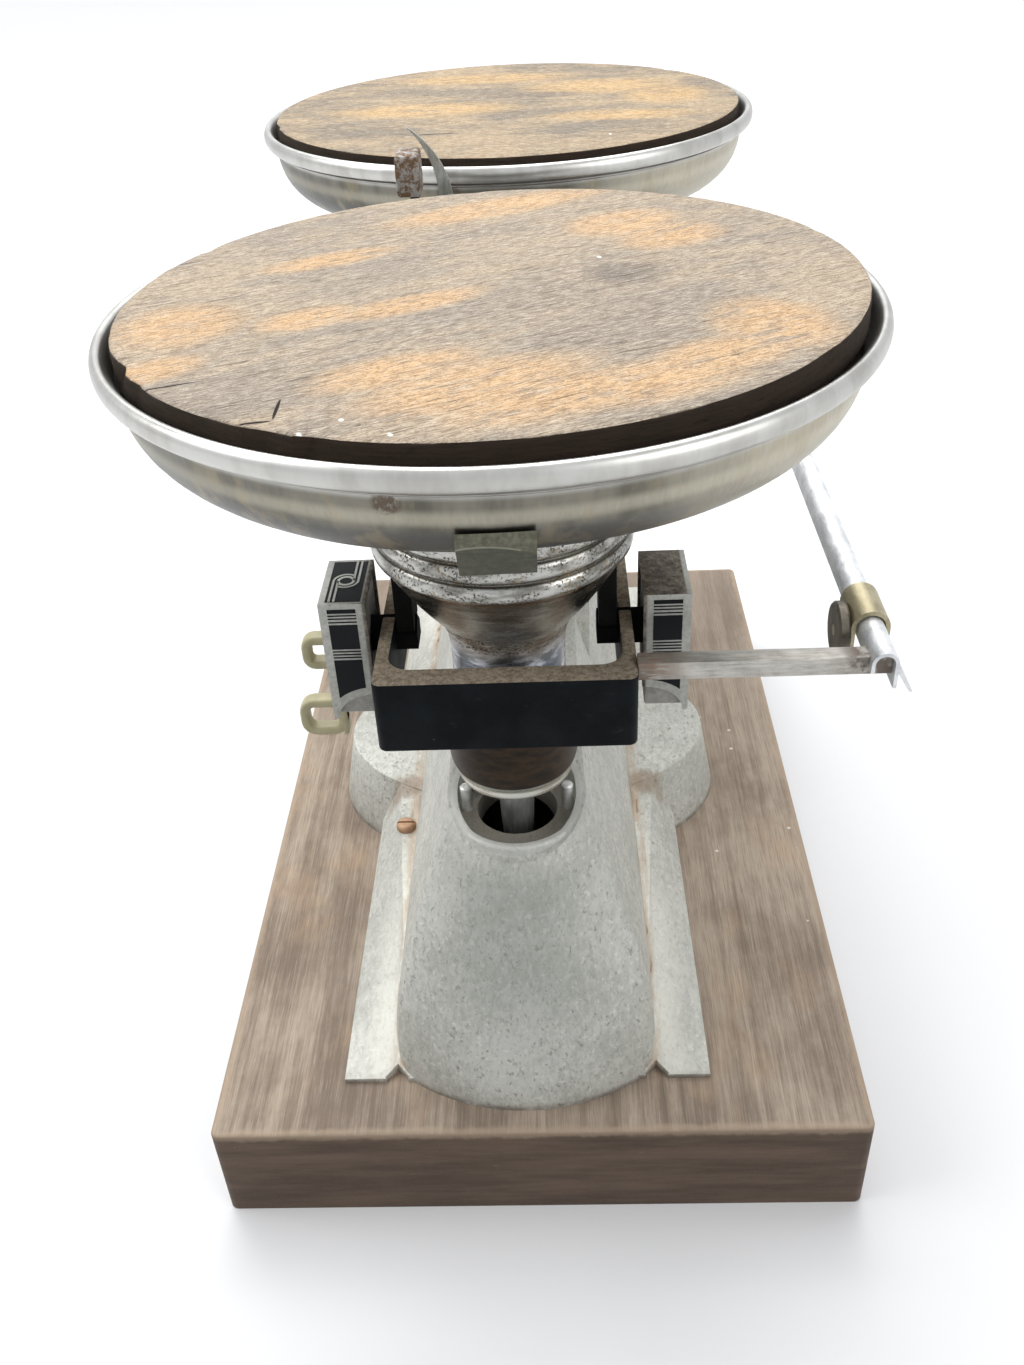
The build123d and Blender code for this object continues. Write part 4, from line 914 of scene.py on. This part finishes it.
def makeDisc(end):
    # a round board whose rim is uneven and chipped
    shape = discShape
    y = ends[end] * levels["panReach"]
    radius, thickness = shape["radius"] * mm, shape["thickness"] * mm
    bm = bmesh.new()
    bmesh.ops.create_circle(bm, cap_ends=True, radius=radius, segments=shape["segments"])
    pushOut(bm, list(bm.faces), (0, 0, shape["thickness"]))
    bmesh.ops.recalc_face_normals(bm, faces=bm.faces)
    for face in [f for f in bm.faces if len(f.verts) > 4]:
        for inset in shape["insets"]:
            bmesh.ops.inset_individual(bm, faces=[face], thickness=inset * mm)
    roundSharp(bm, shape["edge"], 60)
    dice = random.Random(shape["dice"][end])
    for vert in bm.verts:
        away = math.hypot(vert.co.x, vert.co.y)
        if away < radius - shape["rimZone"] * mm:
            continue
        angle = math.degrees(math.atan2(vert.co.y, vert.co.x)) % 360
        bite = shape["uneven"] * dice.random()
        for middle, width, depth in shape["chips"][end]:
            gap = abs((angle - middle + 180) % 360 - 180)
            if gap < width and vert.co.z > shape["chipFloor"] * thickness:
                bite += depth * (1 - gap / width) * (0.7 + 0.3 * dice.random())
        shrink = 1 - bite * mm / away
        vert.co.x *= shrink
        vert.co.y *= shrink
        if bite > shape["deepChip"]:
            vert.co.z -= bite * shape["sink"] * mm
    floor = shape["floor"] * mm
    tilt = math.radians(shape["tilt"][end])
    lift = radius * math.sin(tilt)
    bmesh.ops.transform(
        bm, verts=bm.verts,
        matrix=Matrix.Translation((0, y * mm, floor + lift)) @ Matrix.Rotation(-tilt, 4, "Y"),
    )
    disc = newPiece(bm, end + "_wood_disc_worn", end + "_disc", discWood(end), 40)
    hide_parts(end + "_wood_disc")


columnShape = {
    "steps": 72, "smooth": 1, "headFloor": 177.3, "headRadius": 27.9, "bead": 1.0, "beadHeight": 3.9,
    "pitch": 4.55, "rings": 3, "groove": 0.1,
    # radius and height above the table, from the bottom up, and degrees round each bead
    "foot": [
        (0, 113.5), (8, 113.5), (13.7, 113.5), (14.2, 113.9), (14.2, 115.9), (14.35, 116.3), (14.9, 117.2),
        (15.8, 119.8), (15.75, 122.5), (14.9, 127.5), (14.0, 133.0), (13.3, 139.0), (13.1, 146.5),
        (13.3, 153.5), (14.2, 157.0), (16.0, 160.3), (17.9, 162.3), (21.0, 166.3), (24.0, 171.0),
        (26.7, 175.3), (27.7, 177.1),
    ],
    "round": (-80, -50, 0, 50, 80),
    "top": [(27.9, 190.95), (27.9, 192.4), (27.5, 193.0), (8, 193.0), (0, 193.0)],
}


def makeColumn(end):
    y = ends[end] * levels["panReach"]
    outline = list(columnShape["foot"])
    radius, bead = columnShape["headRadius"], columnShape["bead"]
    half = columnShape["beadHeight"] / 2
    for ring in range(columnShape["rings"]):
        middle = columnShape["headFloor"] + half + ring * columnShape["pitch"]
        for degrees in columnShape["round"]:
            turn = math.radians(degrees)
            outline.append((radius + bead * math.cos(turn), middle + half * math.sin(turn)))
        outline.append((radius - columnShape["groove"], middle + columnShape["pitch"] / 2))
    outline += columnShape["top"]
    turned = spun(outline, y, columnShape["steps"])
    column = newPiece(turned, end + "_column_turned", end + "_pan_support", finishes["chrome"], 80)
    subdivide(column, columnShape["smooth"])
    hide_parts(end + "_pan_column")


for end in ends:
    makeDish(end)
    makeDisc(end)
    makeColumn(end)
print("pans made")


# black bars on the covers' fronts, a lined top on the left ones
coverShape = {
    "inner": 30.4, "outer": 40.8, "top": 167.3, "height": 30.8, "frontReach": 9.75, "proud": 0.12,
    "panelStart": 1.9, "panelWidth": 6.35,
    "archHeight": 6.5, "archWidth": 9.2, "archBand": 2.1, "archSteps": 6,
    # drop below the top in mm: upper and lower edge of each black bar, and the tall panel's top
    "bars": [
        (1.3, 2.3), (2.75, 3.05), (3.55, 3.85), (4.45, 4.75), (5.3, 11.7), (12.2, 12.5), (13.0, 13.3),
        (13.8, 14.1),
    ],
    "tall": 14.7,
    # the black top stands in from the cover's ends, outer and inner side
    "topEnds": 1.0, "topOuter": 1.5, "topInner": 1.1,
}


def plate(bm, corners, thickness, push):
    # a thin plate from its outline, raised along push
    face = bm.faces.new([bm.verts.new(Vector(c) * mm) for c in corners])
    pushOut(bm, [face], Vector(push) * thickness)


def coverFront(end, side):
    # the front's black bars, and a tall panel that ends along the arch
    shape = coverShape
    front = ends[end] * (levels["panReach"] + shape["frontReach"])
    push = (0, ends[end], 0)
    start = shape["outer"] - shape["panelStart"]
    stop = start - shape["panelWidth"]
    bm = bmesh.new()
    for upper, lower in shape["bars"]:
        top, bottom = shape["top"] - upper, shape["top"] - lower
        corners = [(start, front, top), (stop, front, top), (stop, front, bottom), (start, front, bottom)]
        plate(bm, corners, shape["proud"], push)
    top = shape["top"] - shape["tall"]
    foot = shape["top"] - shape["height"]
    corners = [(stop, front, top), (start, front, top)]
    for step in range(shape["archSteps"] + 1):
        x = start + (stop - start) * step / shape["archSteps"]
        along = (x - shape["inner"]) / (shape["archWidth"] + shape["archBand"])
        rise = (shape["archHeight"] + shape["archBand"]) * math.sqrt(max(0.0, 1 - along * along))
        corners.append((x, front, foot + rise))
    plate(bm, corners, shape["proud"], push)
    if side == "left":
        bmesh.ops.scale(bm, verts=bm.verts, vec=(-1, 1, 1))
    bmesh.ops.recalc_face_normals(bm, faces=bm.faces)
    newPiece(bm, end + "_" + side + "_cover_bars", "beam", finishes["trimBlack"])


def coverTop(end):
    # the left cover's black top: a small ring with two double lines curled round it
    shape = coverShape
    y = ends[end] * levels["panReach"]
    half = shape["frontReach"] - shape["topEnds"]
    z = shape["top"]
    left, right = -(shape["outer"] - shape["topOuter"]), -(shape["inner"] + shape["topInner"])
    corners = [(left, y - half, z), (right, y - half, z), (right, y + half, z), (left, y + half, z)]
    bm = bmesh.new()
    plate(bm, corners, shape["proud"], (0, 0, 1))
    bmesh.ops.recalc_face_normals(bm, faces=bm.faces)
    newPiece(bm, end + "_left_cover_top", "beam", finishes["trimBlack"])
    line = {"width": 0.48, "height": 0.14, "ring": 1.75, "ringWidth": 0.65, "outer": 2.8, "curl": 129}
    bm = bmesh.new()
    middle = Vector((-(shape["outer"] + shape["inner"]) / 2, y, z + shape["proud"]))
    thinArc(bm, middle, line["ring"], 0, 360, line["ringWidth"], line["height"])
    for way in (-1, 1):
        edge = middle.y + way * half
        for reach in (line["ring"], line["outer"]):
            x = middle.x + way * reach
            thinStrip(bm, (x, edge, middle.z), (x, middle.y, middle.z), line["width"], line["height"])
        start = 180 if way < 0 else 0
        thinArc(bm, middle, line["outer"], start, start - line["curl"], line["width"], line["height"])
    bmesh.ops.recalc_face_normals(bm, faces=bm.faces)
    newPiece(bm, end + "_left_cover_lines", "beam", finishes["trimSilver"])


def thinStrip(bm, start, stop, width, height):
    start, stop = Vector(start), Vector(stop)
    across = (stop - start).normalized().cross(Vector((0, 0, 1))) * width / 2
    corners = [start - across, stop - across, stop + across, start + across]
    plate(bm, corners, height, (0, 0, 1))


def thinArc(bm, middle, radius, start, stop, width, height, steps=18):
    inner, outer = radius - width / 2, radius + width / 2
    for step in range(steps):
        first = math.radians(start + (stop - start) * step / steps)
        second = math.radians(start + (stop - start) * (step + 1) / steps)
        corners = [
            middle + Vector((r * math.cos(a), r * math.sin(a), 0))
            for r, a in ((inner, first), (outer, first), (outer, second), (inner, second))
        ]
        plate(bm, corners, height, (0, 0, 1))


for end in ends:
    coverTop(end)
    for side in ("left", "right"):
        coverFront(end, side)
print("covers lined")


clipShape = {
    "wallX": -40.8, "frontY": -88.0, "depth": 4.0, "band": 2.2, "edge": 0.7, "strip": 1.5, "stripProud": 0.01,
    # corner radius as a share of the loop's smaller side, and the steps round each corner
    "roundness": 0.36, "cornerSteps": 4,
    # middle level, reach to the left and height of each loop
    "loops": [(145.5, 8.6, 9.0), (126.5, 11.6, 10.6)],
}


def loopEdges(bm, level, reach, height, inset):
    # the edges of an oblong with round corners, set in by that much
    radius = clipShape["roundness"] * min(reach, height)
    points = []
    for across, upward, turn in ((-1, -1, 180), (1, -1, 270), (1, 1, 0), (-1, 1, 90)):
        x = clipShape["wallX"] - reach / 2 + across * (reach / 2 - radius)
        z = level + upward * (height / 2 - radius)
        for step in range(clipShape["cornerSteps"] + 1):
            angle = math.radians(turn + step * 90 / clipShape["cornerSteps"])
            away = radius - inset
            points.append((x + away * math.cos(angle), clipShape["frontY"], z + away * math.sin(angle)))
    return chain(bm, points, closed=True)


def makeClip():
    shape = clipShape
    bm = bmesh.new()
    for level, reach, height in shape["loops"]:
        outer = loopEdges(bm, level, reach, height, 0.0)
        inner = loopEdges(bm, level, reach, height, shape["band"])
        bmesh.ops.bridge_loops(bm, edges=outer + inner)
    upper, lower = shape["loops"]
    top, bottom = upper[0] + upper[2] / 2, lower[0] - lower[2] / 2
    x, y = shape["wallX"], shape["frontY"] - shape["stripProud"]
    left = x - shape["strip"]
    edges = chain(bm, [(x, y, bottom), (left, y, bottom), (left, y, top), (x, y, top)], closed=True)
    bmesh.ops.contextual_create(bm, geom=edges)
    pushOut(bm, list(bm.faces), (0, shape["depth"], 0))
    bmesh.ops.recalc_face_normals(bm, faces=bm.faces)
    roundSharp(bm, shape["edge"], 60, 3)
    clip = newPiece(bm, "cream_clip_loops", "beam", finishes["cream"], 50)
    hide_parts("cream_clip")


makeClip()
print("clip made")
